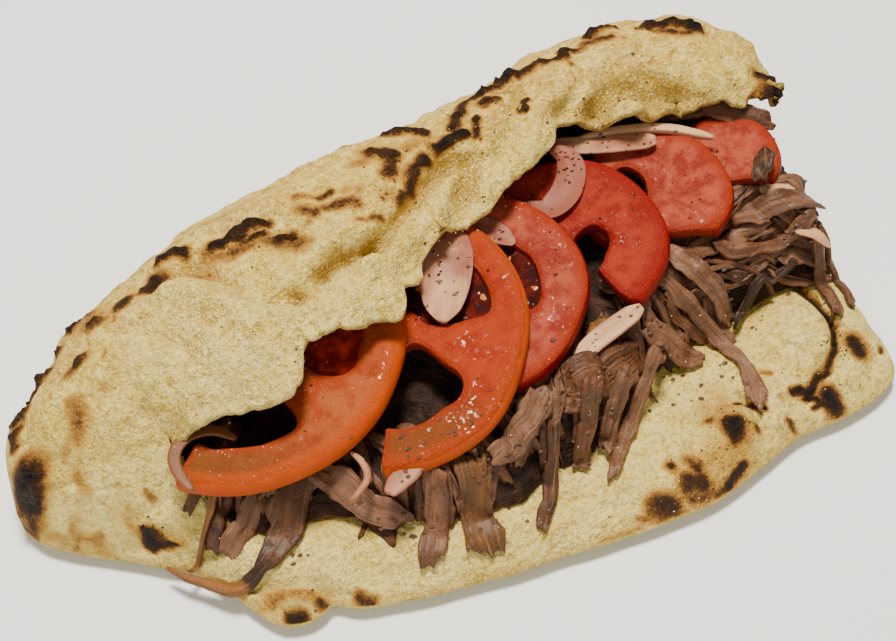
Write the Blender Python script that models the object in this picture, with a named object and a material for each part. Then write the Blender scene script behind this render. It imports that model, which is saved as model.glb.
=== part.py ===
"""Doner kebab sandwich: a blown flatbread, slit along one side into a pocket and filled with
shaved meat, half slices of tomato and strips of onion.

X runs along the bread, -Y is its open side, Z is up.  The origin is under the middle of the
bread, on the surface that it lies on.
"""
import math

import bmesh
import bpy
import numpy as np
from mathutils import Vector

# ---------------------------------------------------------------- driving dimensions, metres
LENGTH = 0.259          # bread, end to end
DEPTH = 0.146           # bread, open side to hinge
HEIGHT = 0.064          # bread, to the top of its ridge
SKIN = 0.0045           # one skin of the bread
LIP = 0.0028            # the same skin where it is torn
RIM = 0.0050            # height of the roundest point of the front rim
FLOOR = 0.0095          # top of the lower leaf inside the pocket
SLICE = 0.0048          # thickness of a slice of tomato
SLICE_RISE = math.radians(12)    # each slice leans on the next one to its right
SLICE_TIP = math.radians(6)      # and tips towards the open side
HEAP_RISE = 0.020       # how far the meat stands above the lower leaf, before the slices
HEAP_RUN = 0.022        # how far back from its toe the meat takes to rise that much
LUMPS = 0.0022          # height of the lumps in it
CLEAR = 0.0010          # gap kept between the filling and what it lies against
MERGE = 0.00001

# Outlines of the bread, each a list of (place along the length, value).  Widths are parts of
# DEPTH from the middle, heights are parts of HEIGHT.
SLIT = 0.16             # where the slit starts
FRONT = ((0, .127), (.008, .086), (.023, .051), (.058, -.007), (.10, -.075), (.139, -.151),
         (.153, -.212), (.17, -.281), (.193, -.312), (.216, -.315), (.23, -.308),
         (.243, -.329), (.286, -.363), (.386, -.418), (.514, -.466), (.633, -.50),
         (.699, -.486), (.757, -.473), (.876, -.469), (.94, -.449), (.975, -.40), (1, -.29))
BACK = ((0, .137), (.006, .199), (.035, .288), (.07, .332), (.112, .397), (.17, .432),
        (.251, .445), (.386, .452), (.502, .456), (.622, .438), (.73, .473), (.80, .486),
        (.861, .50), (.90, .495), (.938, .465), (.973, .415), (1, .34))
RIDGE_Y = ((0, .132), (.039, .158), (.089, .178), (.162, .206), (.224, .226), (.34, .247),
           (.494, .267), (.726, .30), (.88, .315), (1, .267))
RIDGE_Z = ((0, .17), (.008, .30), (.039, .47), (.089, .625), (.147, .75), (.224, .86),
           (.34, .94), (.494, .97), (.726, 1), (.88, .985), (.957, .92), (1, .84))
LIP_Y = ((0, .127), (.039, .089), (.089, .055), (.127, .034), (.16, .016), (.181, 0),
         (.201, -.015), (.231, -.045), (.258, -.069), (.284, -.053), (.299, -.003),
         (.332, -.004), (.371, -.025), (.398, -.04), (.409, -.032), (.42, .011),
         (.449, .019), (.466, .058), (.48, .092), (.516, .089), (.555, .091), (.593, .126),
         (.624, .139), (.653, .156), (.67, .205), (.688, .20), (.721, .179), (.778, .147),
         (.842, .129), (.893, .10), (.953, .05), (1, .02))
LIP_Z = ((0, .165), (.039, .33), (.089, .42), (.127, .46), (.16, .489), (.181, .589),
         (.201, .656), (.231, .711), (.258, .744), (.299, .78), (.42, .813), (.516, .822),
         (.721, .844), (.893, .816), (1, .76))
EDGE_Y = ((0, .127), (.089, .055), (.16, .016), (.167, -.04), (.176, -.10), (.19, -.15),
          (.216, -.19), (.27, -.22), (.386, -.27), (.6, -.28), (.88, -.25), (1, -.17))
EDGE_Z = ((0, .165), (.089, .42), (.16, .489), (.167, .35), (.176, .26), (.19, .215),
          (.216, .20), (.27, .195), (.386, .19), (1, .19))
SWELL = ((0, 1.2), (.12, 1.15), (.16, .85), (.20, 1.7), (.30, 3.4), (1, 3.6))
SETBACK = 0.016         # how far the open side stops short of the hinge at the right end
SETBACK_START = 0.85

# Slices of tomato, left to right: middle x, y, z and radius in millimetres, the stretch along
# the cut, the direction of the cut in degrees and its distance from the middle, and the
# hollows that held the seeds, each from angle to angle and from radius to radius.
SLICES = (
    (-57.4, 17.6, 38.0, 39.5, 1.04, 216, 0, ((206, 264, 5, 30), (300, 372, 9, 29.5))),
    (-24.0, 1.6, 37.3, 35.5, 1.12, 236, 0, ((228, 286, 7, 24), (335, 408, 8, 26))),
    (1.8, 2.6, 36.5, 31.5, 1.0, 240, 0, ((300, 384, 7, 17.5),)),
    (33.2, 3.6, 37.4, 28.0, 1.0, 323, 21.5, ((188, 268, 4, 34),)),
    (66.4, 5.2, 39.0, 21.5, 1.0, 323, 15.5, ((340, 540, 1, 7.5),)),
    (94.8, 5.6, 38.4, 15.0, 1.0, 323, 9, ()),
)

# Toe of the heaped meat on the lower leaf.
TOE = ((.172, -.06), (.19, -.14), (.235, -.17), (.278, -.20), (.32, -.25), (.36, -.30),
       (.40, -.325), (.444, -.335), (.50, -.31), (.53, -.315), (.61, -.265), (.676, -.225),
       (.72, -.22), (.82, -.21), (.94, -.205), (.985, -.18))

# Strips of filling: name, width and thickness in millimetres, and the route of the middle of
# each one across the sandwich.  Meat lies on the heap and the leaf, onion on the slices too.
MEAT = (
    ("meat_strip_1", 10.0, 2.4, ((-65, -25), (-71, -27), (-78, -30), (-84, -32), (-90, -31))),
    ("meat_strip_2", 2.4, 1.8, ((-87, -13), (-90, -16), (-94, -19), (-98, -22))),
    ("meat_strip_3", 7.0, 2.4, ((-60, -33), (-56, -36), (-51, -39), (-46, -43))),
    ("meat_strip_4", 6.0, 2.6, ((-36, -42), (-39, -44), (-42, -46), (-45, -50))),
    ("meat_strip_5", 9.0, 2.4, ((-27, -41), (-28, -45), (-29, -50), (-31, -56))),
    ("meat_strip_6", 5.5, 2.6, ((1, -35), (-6, -38), (-13, -40), (-19, -41))),
    ("meat_strip_7", 3.4, 2.2, ((-6, -47), (-11, -53), (-16, -58))),
    ("meat_strip_8", 11.0, 6.0, ((7, -35), (15, -36), (24, -35), (33, -33))),
    ("meat_strip_9", 3.8, 2.4, ((43, -33), (33, -39), (19, -47), (7, -56))),
    ("meat_strip_10", 6.0, 2.4, ((44, -31), (49, -34), (56, -38))),
    ("meat_strip_11", 3.8, 2.4, ((54, -20), (58, -26), (63, -33), (64, -43), (58, -58))),
    ("meat_strip_12", 4.5, 2.4, ((60, -13), (62, -20), (66, -26), (71, -30))),
    ("meat_strip_13", 3.6, 2.6, ((75, -19), (84, -22), (91, -23), (97, -24))),
    ("meat_strip_14", 5.5, 2.4, ((87, -14), (93, -16), (100, -19), (107, -20))),
    ("meat_strip_15", 3.4, 2.4, ((103, -32), (104, -38), (101, -45))),
    ("meat_strip_16", 3.0, 2.0, ((95, -29), (88, -28), (81, -29))),
    ("meat_strip_17", 4.0, 3.0, ((98, 29), (104, 26), (111, 21), (116, 14))),
    ("meat_strip_18", 4.5, 3.0, ((99, -5), (95, -7), (92, -8))),
    ("meat_strip_19", 4.6, 2.4, ((11, -41), (7, -44), (2, -48))),
    ("meat_strip_20", 4.0, 2.4, ((22, -41), (17, -43), (12, -46))),
    ("meat_strip_21", 3.0, 2.2, ((107, -31), (109, -36), (108, -43))),
)
ONION = (
    ("onion_piece_1", 12.0, 2.0, ((-3, 13), (-2, 6), (-7, -1), (-14, -3))),
    ("onion_piece_2", 5.0, 1.8, ((12, 10), (15, 6), (17, 2))),
    ("onion_piece_3", 7.5, 2.0, ((50, 24), (47, 19), (40, 14), (33, 13), (28, 17))),
    ("onion_piece_4", 5.0, 2.0, ((56, 25), (61, 22), (68, 18), (75, 14))),
    ("onion_piece_5", 1.8, 3.6, ((70, 31), (79, 28), (86, 21), (92, 13))),
    ("onion_piece_6", 3.6, 2.6, ((18, -28), (27, -26), (35, -26))),
    ("onion_piece_7", 4.0, 2.2, ((-49, -33), (-44, -36), (-38, -38))),
    ("onion_piece_8", 2.4, 2.2, ((-49, -24), (-48, -27), (-50, -30), (-54, -30))),
    ("onion_piece_9", 5.0, 2.0, ((98, -11), (104, -10))),
    ("onion_piece_10", 3.6, 2.0, ((102, -26), (108, -26))),
    ("onion_piece_11", 2.4, 2.0, ((-75, -7), (-79, -5), (-82, -6), (-84, -9))),
)

STIFFNESS = 4           # how far a strip bridges the dips it lies over
BREAD_STATIONS = 44
COLOURS = {
    "bread": (0.78, 0.66, 0.43), "meat_heap": (0.20, 0.10, 0.07),
    "tomato": (0.72, 0.13, 0.06), "onion": (0.86, 0.72, 0.68), "meat": (0.30, 0.18, 0.14),
}


def along(knots, place):
    """Smooth curve through (place, value) knots: cubic pieces whose slopes match."""
    at, value = np.array(knots, float).T
    slope = np.gradient(value, at)
    place = np.asarray(place, float)
    i = np.clip(np.searchsorted(at, place) - 1, 0, len(at) - 2)
    step = at[i + 1] - at[i]
    t = (place - at[i]) / step
    return ((1 + 2 * t) * (1 - t) ** 2 * value[i] + t * (1 - t) ** 2 * step * slope[i]
            + t * t * (3 - 2 * t) * value[i + 1] + t * t * (t - 1) * step * slope[i + 1])


def bread_curves(place):
    """Widths and heights of the bread's section at each place along it, in metres."""
    front, back, ridge_y = (DEPTH * along(k, place) for k in (FRONT, BACK, RIDGE_Y))
    ridge_z = HEIGHT * along(RIDGE_Z, place)
    lip_y, lip_z = DEPTH * along(LIP_Y, place), HEIGHT * along(LIP_Z, place)
    edge_y, edge_z = DEPTH * along(EDGE_Y, place), HEIGHT * along(EDGE_Z, place)
    shut = place <= SLIT
    edge_y, edge_z = np.where(shut, lip_y, edge_y), np.where(shut, lip_z, edge_z)
    rim = np.minimum(RIM, 0.42 * ridge_z)
    return front, back, ridge_y, ridge_z, lip_y, lip_z, edge_y, edge_z, rim


def leaf_top(place, y):
    """Height of the lower leaf: it swells up from the rim to the edge of the pocket."""
    front, _, _, _, _, _, edge_y, edge_z, rim = bread_curves(place)
    u = np.clip((y - front) / (edge_y - front), 0, 1)
    inside = np.clip((y - edge_y) / 0.012, 0, 1)
    top = rim + (edge_z - rim) * (1 - (1 - u) ** along(SWELL, place))
    return top + (FLOOR - edge_z) * inside


def ceiling(place, y):
    """Height of the inner face of the upper leaf, over the pocket."""
    _, back, ridge_y, ridge_z, lip_y, lip_z, _, _, _ = bread_curves(place)
    hinge_z = 0.33 * ridge_z
    t = np.clip((ridge_y - y) / (ridge_y - lip_y), 0, 1)
    slope = ridge_z - SKIN - (ridge_z - lip_z) * t ** 1.7 + (SKIN - LIP) * t * t
    u = np.clip((y - ridge_y) / (back - SKIN - ridge_y), 0, 1)
    vault = hinge_z + (ridge_z - SKIN - hinge_z) * np.sqrt(1 - u * u)
    height = np.where(y < ridge_y, slope, vault)
    return np.where(y < lip_y, np.inf, height)


def place_x(place, y):
    """X of a place along the bread; the open side stops short of the hinge on the right."""
    t = np.clip((place - SETBACK_START) / (1 - SETBACK_START), 0, 1)
    side = np.clip((0.018 - y) / 0.022, 0, 1)
    side = side * side * (3 - 2 * side)
    return LENGTH * (place - 0.5) - SETBACK * t * t * side


def mesh_object(name, verts, faces, material):
    """One named object from points and faces, doubles merged and faces turned outwards."""
    bm = bmesh.new()
    points = [bm.verts.new(v) for v in verts]
    for face in faces:
        bm.faces.new([points[i] for i in face])
    bmesh.ops.remove_doubles(bm, verts=bm.verts, dist=MERGE)
    bmesh.ops.dissolve_degenerate(bm, dist=MERGE, edges=bm.edges)
    bmesh.ops.recalc_face_normals(bm, faces=bm.faces)
    mesh = bpy.data.meshes.new(name)
    bm.to_mesh(mesh)
    bm.free()
    mesh.shade_smooth()
    mesh.set_sharp_from_angle(angle=math.radians(40))
    mesh.materials.append(material)
    obj = bpy.data.objects.new(name, mesh)
    bpy.context.collection.objects.link(obj)
    return obj


def ring_faces(rows, columns):
    """Quads of a tube of closed rings, and a lid on each end."""
    quads = [(r * columns + c, r * columns + (c + 1) % columns,
              (r + 1) * columns + (c + 1) % columns, (r + 1) * columns + c)
             for r in range(rows - 1) for c in range(columns)]
    return quads + [tuple(range(columns)), tuple((rows - 1) * columns + c for c in range(columns))]


def food(name, roughness, coat=0.0):
    """Material of one kind of food."""
    material = bpy.data.materials.new(name)
    material.use_nodes = True
    shader = material.node_tree.nodes["Principled BSDF"]
    shader.inputs["Base Color"].default_value = (*COLOURS[name], 1)
    shader.inputs["Roughness"].default_value = roughness
    shader.inputs["Metallic"].default_value = 0
    shader.inputs["Coat Weight"].default_value = coat
    material.diffuse_color = (*COLOURS[name], 1)
    return material


def bread(material):
    """Blown bread: sections from rim, under, round the hinge and over the ridge to the torn lip,
    then back through the pocket.  Left of the slit the pocket closes to a point."""
    closed = np.linspace(0, SLIT ** (1 / 1.6), 13) ** 1.6
    opened = np.append(SLIT + 0.006, np.linspace(SLIT + 0.02, 1, BREAD_STATIONS - 14))
    place = np.concatenate([closed, opened])[:, None]
    front, back, ridge_y, ridge_z, lip_y, lip_z, edge_y, edge_z, rim = bread_curves(place)
    width = back - front
    heel, heap = np.minimum(0.010, 0.3 * width), np.minimum(0.024, 0.35 * width)
    hinge_z = 0.33 * ridge_z

    def turn(count):
        return np.linspace(0, math.pi / 2, count)[None, :]

    def sweep(count):
        return np.linspace(0, 1, count)[None, :]

    a, b, c, t = turn(4)[:, :-1], turn(5)[:, :-1], turn(7)[:, :-1], sweep(7)
    outer = [(front + heel * (1 - np.cos(a)), rim * (1 - np.sin(a))),
             (front + heel + (width - heel - heap) * sweep(4)[:, :-1], 0 * place + 0 * sweep(4)[:, :-1]),
             (back - heap * (1 - np.sin(b)), hinge_z * (1 - np.cos(b))),
             (ridge_y + (back - ridge_y) * np.cos(c), hinge_z + (ridge_z - hinge_z) * np.sin(c)),
             (ridge_y + (lip_y - ridge_y) * t, ridge_z - (ridge_z - lip_z) * t ** 1.7)]
    t = sweep(5)[:, ::-1]
    c = turn(6)[:, ::-1][:, 1:]
    b = turn(4)[:, ::-1][:, 1:]
    wall, roof = back - SKIN, ridge_z - SKIN
    inner = [(ridge_y + (lip_y - ridge_y) * t,
              roof - (ridge_z - lip_z) * t ** 1.7 + (SKIN - LIP) * t * t),
             (ridge_y + (wall - ridge_y) * np.cos(c), hinge_z + (roof - hinge_z) * np.sin(c)),
             (wall - 0.010 * (1 - np.sin(b)), FLOOR + (hinge_z - FLOOR) * (1 - np.cos(b))),
             (edge_y + 0.012 + (wall - 0.010 - edge_y - 0.012) * sweep(4)[:, ::-1][:, 1:],
              FLOOR + 0 * place + 0 * sweep(3))]
    u = sweep(8)[:, ::-1][:, :-1]
    leaf = [(front + (edge_y - front) * u,
             rim + (edge_z - rim) * (1 - (1 - u) ** along(SWELL, place)))]
    shut = place <= SLIT + MERGE
    seam = [(np.where(shut, lip_y, y), np.where(shut, lip_z, z)) for y, z in inner]
    y = np.concatenate([p[0] for p in outer + seam + leaf], axis=1)
    z = np.concatenate([p[1] for p in outer + seam + leaf], axis=1)
    x = place_x(place, y)
    rows, columns = y.shape
    verts = np.stack([x, y, z], axis=2).reshape(-1, 3)
    tip = slice(0, columns)
    verts[tip] = verts[tip].mean(axis=0)
    faces = ring_faces(rows, columns)
    del faces[-2]
    return mesh_object("bread", verts.tolist(), faces, material)


def slice_plane(number, x, y):
    """Height of the middle plane of a slice over a point, and the distance from its middle."""
    cx, cy, cz = (v * 0.001 for v in SLICES[number][:3])
    dx, dy = x - cx, y - cy
    return cz + dx * math.tan(SLICE_RISE) + dy * math.tan(SLICE_TIP), np.hypot(dx, dy)


def tomato_slice(number, material):
    """Disc, cut straight on one side, with its seed hollows cut through."""
    cx, cy, cz, radius, stretch, cut, offset, hollows = SLICES[number]
    name = f"tomato_slice_{number + 1}"
    radius *= 0.001
    steps = 40
    start = math.radians(cut)
    reach = math.acos(-offset * 0.001 / radius)
    mid = start + math.pi / 2
    angles = np.linspace(mid - reach, mid + reach, steps)
    rim = np.stack([radius * np.cos(angles), radius * np.sin(angles)], axis=1)
    along_cut = np.array([math.cos(start), math.sin(start)])
    rim += (stretch - 1) * (rim @ along_cut)[:, None] * along_cut
    solid = prism(name, rim, SLICE)
    solid.data.materials.append(material)
    for index, (first, last, inner, outer) in enumerate(hollows):
        sweep = np.radians(np.linspace(first, last, 9))
        out = 0.001 * (outer - (outer - inner) * 0.12 * np.abs(np.linspace(-1, 1, 9)) ** 4)
        near = 0.001 * inner + 0 * sweep
        ring = np.concatenate([np.stack([out * np.cos(sweep), out * np.sin(sweep)], axis=1),
                               np.stack([near * np.cos(sweep), near * np.sin(sweep)], axis=1)[::-4]])
        cutter = prism(f"{name}_hollow_{index + 1}", ring, 3 * SLICE)
        cutter.hide_render = True
        cutter.display_type = "WIRE"
        cutter.parent = solid
        cut_through = solid.modifiers.new(f"hollow_{index + 1}", "BOOLEAN")
        cut_through.operation = "DIFFERENCE"
        cut_through.solver = "EXACT"
        cut_through.object = cutter
    across = Vector((math.cos(SLICE_RISE), 0, math.sin(SLICE_RISE)))
    up = across.cross(Vector((0, math.cos(SLICE_TIP), math.sin(SLICE_TIP)))).normalized()
    solid.rotation_mode = "QUATERNION"
    solid.rotation_quaternion = Vector((0, 0, 1)).rotation_difference(up)
    solid.location = (cx * 0.001, cy * 0.001, cz * 0.001)
    return solid


def prism(name, outline, thickness):
    """Closed slab with the given outline, half above and half below its origin."""
    bm = bmesh.new()
    base = bm.faces.new([bm.verts.new((x, y, -thickness / 2)) for x, y in outline])
    raised = bmesh.ops.extrude_face_region(bm, geom=[base])["geom"]
    bmesh.ops.translate(bm, verts=[g for g in raised if isinstance(g, bmesh.types.BMVert)],
                        vec=(0, 0, thickness))
    bmesh.ops.recalc_face_normals(bm, faces=bm.faces)
    mesh = bpy.data.meshes.new(name)
    bm.to_mesh(mesh)
    bm.free()
    obj = bpy.data.objects.new(name, mesh)
    bpy.context.collection.objects.link(obj)
    return obj


def heap_top(place, y):
    """Height of the heaped meat: it rises from its toe, and stays under slices and upper leaf."""
    toe = DEPTH * along(TOE, place)
    u = np.clip((y - toe) / HEAP_RUN, 0, 1)
    lumps = LUMPS * np.sin(221 * place + 260 * y) * np.cos(310 * y - 37 * place)
    free = leaf_top(place, y) + 0.004 + HEAP_RISE * np.sin(u * math.pi / 2) + lumps * u
    x = place_x(place, y)
    top = np.minimum(free, ceiling(place, y) - CLEAR - 0.0005)
    for number, row in enumerate(SLICES):
        height, far = slice_plane(number, x, y)
        under = height - SLICE / 2 - 2 * CLEAR
        top = np.where(far < row[3] * 0.001 + 0.008, np.minimum(top, under), top)
    return top


def meat_heap(material):
    """Shaved meat that fills the pocket and spills over the lower leaf, as one mound."""
    rows, columns = 34, 13
    place = np.linspace(SLIT + 0.018, 0.975, rows)[:, None]
    toe = DEPTH * along(TOE, place)
    back = DEPTH * along(BACK, place) - SKIN - 0.012
    v = np.linspace(0, 1, columns)[None, :]
    y = toe + (back - toe) * v
    floor = leaf_top(place, y) + 1.3 * CLEAR
    top = np.maximum(heap_top(place, y), floor + 0.0015)
    low = [0, 3, 6, 9, 12]
    y_ring = np.concatenate([y, y[:, low][:, ::-1]], axis=1)
    z_ring = np.concatenate([top, floor[:, low][:, ::-1]], axis=1)
    verts = np.stack([place_x(place, y_ring), y_ring, z_ring], axis=2).reshape(-1, 3)
    return mesh_object("meat_heap", verts.tolist(), ring_faces(rows, y_ring.shape[1]), material)


def rest_height(x, y, on_slices):
    """Highest surface of the filling, or of the leaf, within reach of each point."""
    best = np.zeros_like(x)
    for step in range(9):
        near = 0.0 if step == 8 else 0.0026
        px = x + near * math.cos(step * math.pi / 4)
        py = y + near * math.sin(step * math.pi / 4)
        place = px / LENGTH + 0.5
        for _ in range(4):
            place = np.clip(place + (px - place_x(place, py)) / LENGTH, 0, 1)
        off_end = np.abs(px - place_x(place, py)) > 0.0001
        front = bread_curves(place)[0]
        height = np.where((py < front) | off_end, 0, leaf_top(place, py))
        on_heap = (py > DEPTH * along(TOE, place) - 0.002) & (place > SLIT) & ~off_end
        height = np.where(on_heap, np.maximum(height, heap_top(place, py)), height)
        if on_slices:
            height = np.maximum(height, slice_tops(px, py))
        best = np.maximum(best, height)
    return best


def slice_tops(x, y):
    """Height of the highest slice over each point, or 0 beside them all."""
    best = np.zeros_like(x)
    for number, row in enumerate(SLICES):
        height, far = slice_plane(number, x, y)
        mid = math.radians(row[5] + 90)
        kept = (x - row[0] * 0.001) * math.cos(mid) + (y - row[1] * 0.001) * math.sin(mid)
        over = (far < row[3] * row[4] * 0.001 + 0.001) & (kept > -row[6] * 0.001 - 0.001)
        best = np.where(over, np.maximum(best, height + SLICE / 2), best)
    return best


def strip(name, width, thickness, route, material, on_slices, blunt):
    """Strip of filling laid along a route, its flat side on whatever lies under it."""
    width, thickness = width * 0.001, thickness * 0.001
    points = np.array(route, float) * 0.001
    gone = np.concatenate([[0], np.cumsum(np.hypot(*np.diff(points, axis=0).T))])
    count = max(4, int(round(gone[-1] / 0.004)) + 1)
    at = np.linspace(0, gone[-1], count)
    x, y = along(list(zip(gone, points[:, 0])), at), along(list(zip(gone, points[:, 1])), at)
    turn = np.arctan2(np.gradient(y), np.gradient(x))
    side_x, side_y = -np.sin(turn), np.cos(turn)
    middle = rest_height(x, y, on_slices)
    left = rest_height(x + side_x * width / 2, y + side_y * width / 2, on_slices)
    right = rest_height(x - side_x * width / 2, y - side_y * width / 2, on_slices)
    z = np.maximum(middle, (left + right) / 2) + thickness / 2 + CLEAR
    for _ in range(STIFFNESS):
        z[1:-1] = np.maximum(z[1:-1], (z[:-2] + z[2:]) / 2)
    roll = np.clip((left - right) / width, -1, 1)
    end = np.minimum(at, gone[-1] - at) / gone[-1]
    taper = np.clip(blunt + (1 - blunt) * (4 * end) ** 0.6, 0, 1)
    around = np.arange(6) * math.pi / 3
    across = np.cos(around)[None, :] * (taper * width / 2)[:, None]
    lift = np.sin(around)[None, :] * (np.sqrt(taper) * thickness / 2)[:, None]
    verts = np.stack([x[:, None] + side_x[:, None] * across, y[:, None] + side_y[:, None] * across,
                      z[:, None] + roll[:, None] * across + lift], axis=2)
    return mesh_object(name, verts.reshape(-1, 3).tolist(), ring_faces(count, 6), material)


def build():
    """Clear the scene and make every piece."""
    for old in list(bpy.data.objects):
        bpy.data.objects.remove(old)
    bread(food("bread", 0.85))
    meat_heap(food("meat_heap", 0.6))
    flesh = food("tomato", 0.25, 0.5)
    for number in range(len(SLICES)):
        tomato_slice(number, flesh)
    meat, onion = food("meat", 0.55, 0.2), food("onion", 0.35, 0.3)
    for row in MEAT:
        strip(*row, meat, row[0] in ("meat_strip_17", "meat_strip_18"), 0.45)
    for row in ONION:
        strip(*row, onion, True, 0.8)


build()
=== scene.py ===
import math

import bpy
import numpy as np
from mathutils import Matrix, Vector
from mathutils.bvhtree import BVHTree


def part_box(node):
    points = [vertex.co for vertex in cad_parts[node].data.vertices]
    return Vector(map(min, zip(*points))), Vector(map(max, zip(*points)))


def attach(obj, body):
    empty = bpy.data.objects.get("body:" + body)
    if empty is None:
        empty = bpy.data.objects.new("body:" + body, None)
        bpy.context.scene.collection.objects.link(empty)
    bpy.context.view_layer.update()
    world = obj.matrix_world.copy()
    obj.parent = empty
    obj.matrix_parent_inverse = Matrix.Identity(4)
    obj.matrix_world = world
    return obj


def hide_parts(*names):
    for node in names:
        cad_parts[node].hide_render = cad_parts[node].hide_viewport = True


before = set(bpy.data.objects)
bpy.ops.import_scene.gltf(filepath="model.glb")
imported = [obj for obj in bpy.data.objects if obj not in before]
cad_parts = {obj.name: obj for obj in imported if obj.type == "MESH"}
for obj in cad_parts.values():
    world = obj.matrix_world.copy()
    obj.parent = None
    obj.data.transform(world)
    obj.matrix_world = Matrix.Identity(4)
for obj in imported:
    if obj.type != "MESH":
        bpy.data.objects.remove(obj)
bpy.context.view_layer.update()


# ------------------------------------------------------------------ bread
# Blown flatbread from a very hot oven: one ball of dough that puffed into a pocket, floury and
# pale between its burnt blisters.  It is slit along one side, and the upper skin is torn and wavy
# where it was pulled open.

low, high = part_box("bread")
LENGTH, DEPTH, HEIGHT = high - low
SKIN, TORN = 0.0042, 0.0024             # thickness of the crust, and of its torn lip
RIM, FLOOR = 0.0050, 0.0095             # height of the rounded rim, and of the pocket's floor
HINGE = 0.33                            # share of its height where the back stands furthest out
HEEL, TOE = 0.024, 0.010                # widths of the roundings under the back and the rim
HOLLOW = 0.010                          # width of the rounding at the back of the pocket
SLIT = 0.16                             # share of the length that stays shut
SETBACK, SETBACK_START = 0.019, 0.86    # how far the leaf's right end draws back, from where
BOLD = 1.25                             # deepens every crease and swell in the tables
MERGE = 2e-6                            # points closer than this become one
MM = 0.001                              # routes in the tables are in millimetres

# Section curves, (place along the bread, value): widths as parts of DEPTH, heights of HEIGHT.
FRONT = ((0, .127), (.008, .086), (.023, .051), (.058, -.007), (.10, -.075), (.139, -.151),
         (.153, -.212), (.17, -.281), (.193, -.312), (.216, -.315), (.23, -.308),
         (.243, -.329), (.286, -.363), (.386, -.418), (.514, -.466), (.633, -.50),
         (.699, -.486), (.757, -.473), (.82, -.484), (.876, -.478), (.92, -.455), (.95, -.42),
         (.98, -.36), (1, -.27))
BACK = ((0, .137), (.006, .199), (.035, .288), (.07, .332), (.112, .388), (.17, .416),
        (.251, .432), (.386, .452), (.502, .456), (.622, .438), (.73, .473), (.80, .486),
        (.861, .50), (.90, .482), (.938, .435), (.973, .37), (1, .29))
RIDGE_Y = ((0, .132), (.039, .158), (.089, .178), (.162, .206), (.224, .226), (.34, .247),
           (.494, .267), (.726, .30), (.88, .305), (1, .235))
RIDGE_Z = ((0, .17), (.008, .30), (.039, .47), (.089, .625), (.147, .73), (.224, .84),
           (.34, .94), (.494, .97), (.726, 1), (.85, .97), (.92, .92), (.97, .84), (1, .775))
LIP_Y = ((0, .127), (.039, .089), (.089, .055), (.127, .034), (.16, .016), (.181, 0),
         (.201, -.015), (.231, -.045), (.258, -.069), (.284, -.053), (.299, -.003),
         (.332, -.004), (.371, -.025), (.398, -.04), (.409, -.032), (.42, .011),
         (.449, .019), (.466, .058), (.48, .092), (.516, .089), (.555, .091), (.593, .126),
         (.624, .139), (.653, .156), (.67, .205), (.688, .20), (.721, .179), (.778, .147),
         (.842, .129), (.893, .105), (.953, .08), (1, .085))
LIP_Z = ((0, .165), (.039, .33), (.089, .42), (.127, .46), (.16, .489), (.181, .589),
         (.201, .656), (.231, .711), (.258, .744), (.299, .78), (.42, .813), (.516, .822),
         (.721, .872), (.80, .872), (.893, .83), (.96, .76), (1, .70))
EDGE_Y = ((0, .127), (.089, .055), (.16, .016), (.167, -.04), (.176, -.10), (.19, -.15),
          (.216, -.19), (.27, -.22), (.386, -.27), (.6, -.28), (.88, -.25), (1, -.17))
EDGE_Z = ((0, .165), (.089, .42), (.16, .489), (.167, .35), (.176, .26), (.19, .215),
          (.216, .20), (.27, .195), (.386, .19), (1, .19))
SWELL = ((0, 1.2), (.12, 1.15), (.16, .85), (.20, 1.7), (.30, 3.4), (1, 3.6))

# Creases: route in mm, width, depth (below 0 it is a fold that stands up).
UPPER_CREASES = (
    (((-76, 38), (-66, 37), (-63, 31), (-60, 25), (-57, 18), (-53, 13), (-46, 11)), 2.6, 2.6),
    (((-72, 31), (-67, 26), (-63, 18), (-58, 10)), 4.0, -1.9), (((-46, 11), (-38, 13)), 2.6, 2.2),
    (((-38, 13), (-35, 14), (-30, 15), (-25, 14), (-21, 14)), 1.9, 4.2),
    (((-36, 9), (-29, 10), (-22, 9)), 2.4, -1.6), (((-34, 20), (-26, 20), (-18, 21)), 3.0, -1.6),
    (((-21, 14), (-15, 17), (-12, 19), (-6, 21), (1, 26), (9, 28)), 2.4, 3.8),
    (((-18, 11), (-10, 14), (-3, 18)), 3.0, -1.2),
    (((-29, 13), (-30, 8), (-28, 3)), 1.8, 1.4), (((-57, 11), (-54, 5), (-52, 0)), 2.2, 1.0),
    (((9, 31), (17, 28), (18, 25), (13, 21), (7, 17), (2, 13)), 3.4, 2.8),
    (((15, 27), (10, 21)), 2.5, 1.6),
    (((42, 41), (37, 36), (32, 32), (27, 26)), 3.0, 2.2),
    (((62, 38), (58, 34), (54, 32), (49, 31)), 2.0, 1.8),
    (((50, 28), (55, 26), (61, 26)), 3.0, 1.8),
    (((60, 27), (66, 29), (73, 28), (78, 26)), 4.6, 4.0),
    (((77, 21), (83, 23), (89, 21), (95, 17)), 3.6, 3.4),
    (((81, 32), (85, 29), (85, 24), (88, 20)), 2.8, 2.4),
    (((104, 16), (108, 13), (112, 10)), 2.2, 1.6),
    (((-30, 4), (-28, 8), (-24, 12)), 2.6, -1.4), (((-3, 11), (2, 19), (8, 25)), 3.2, -1.6),
    (((33, 24), (42, 30), (52, 37)), 3.5, -1.6), (((-88, 30), (-80, 24), (-76, 14)), 3.5, 0.9),
    (((-104, 26), (-96, 30), (-90, 33)), 2.5, 0.9), (((-47, 3), (-42, 8), (-36, 9)), 2.4, 1.0),
)
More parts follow.
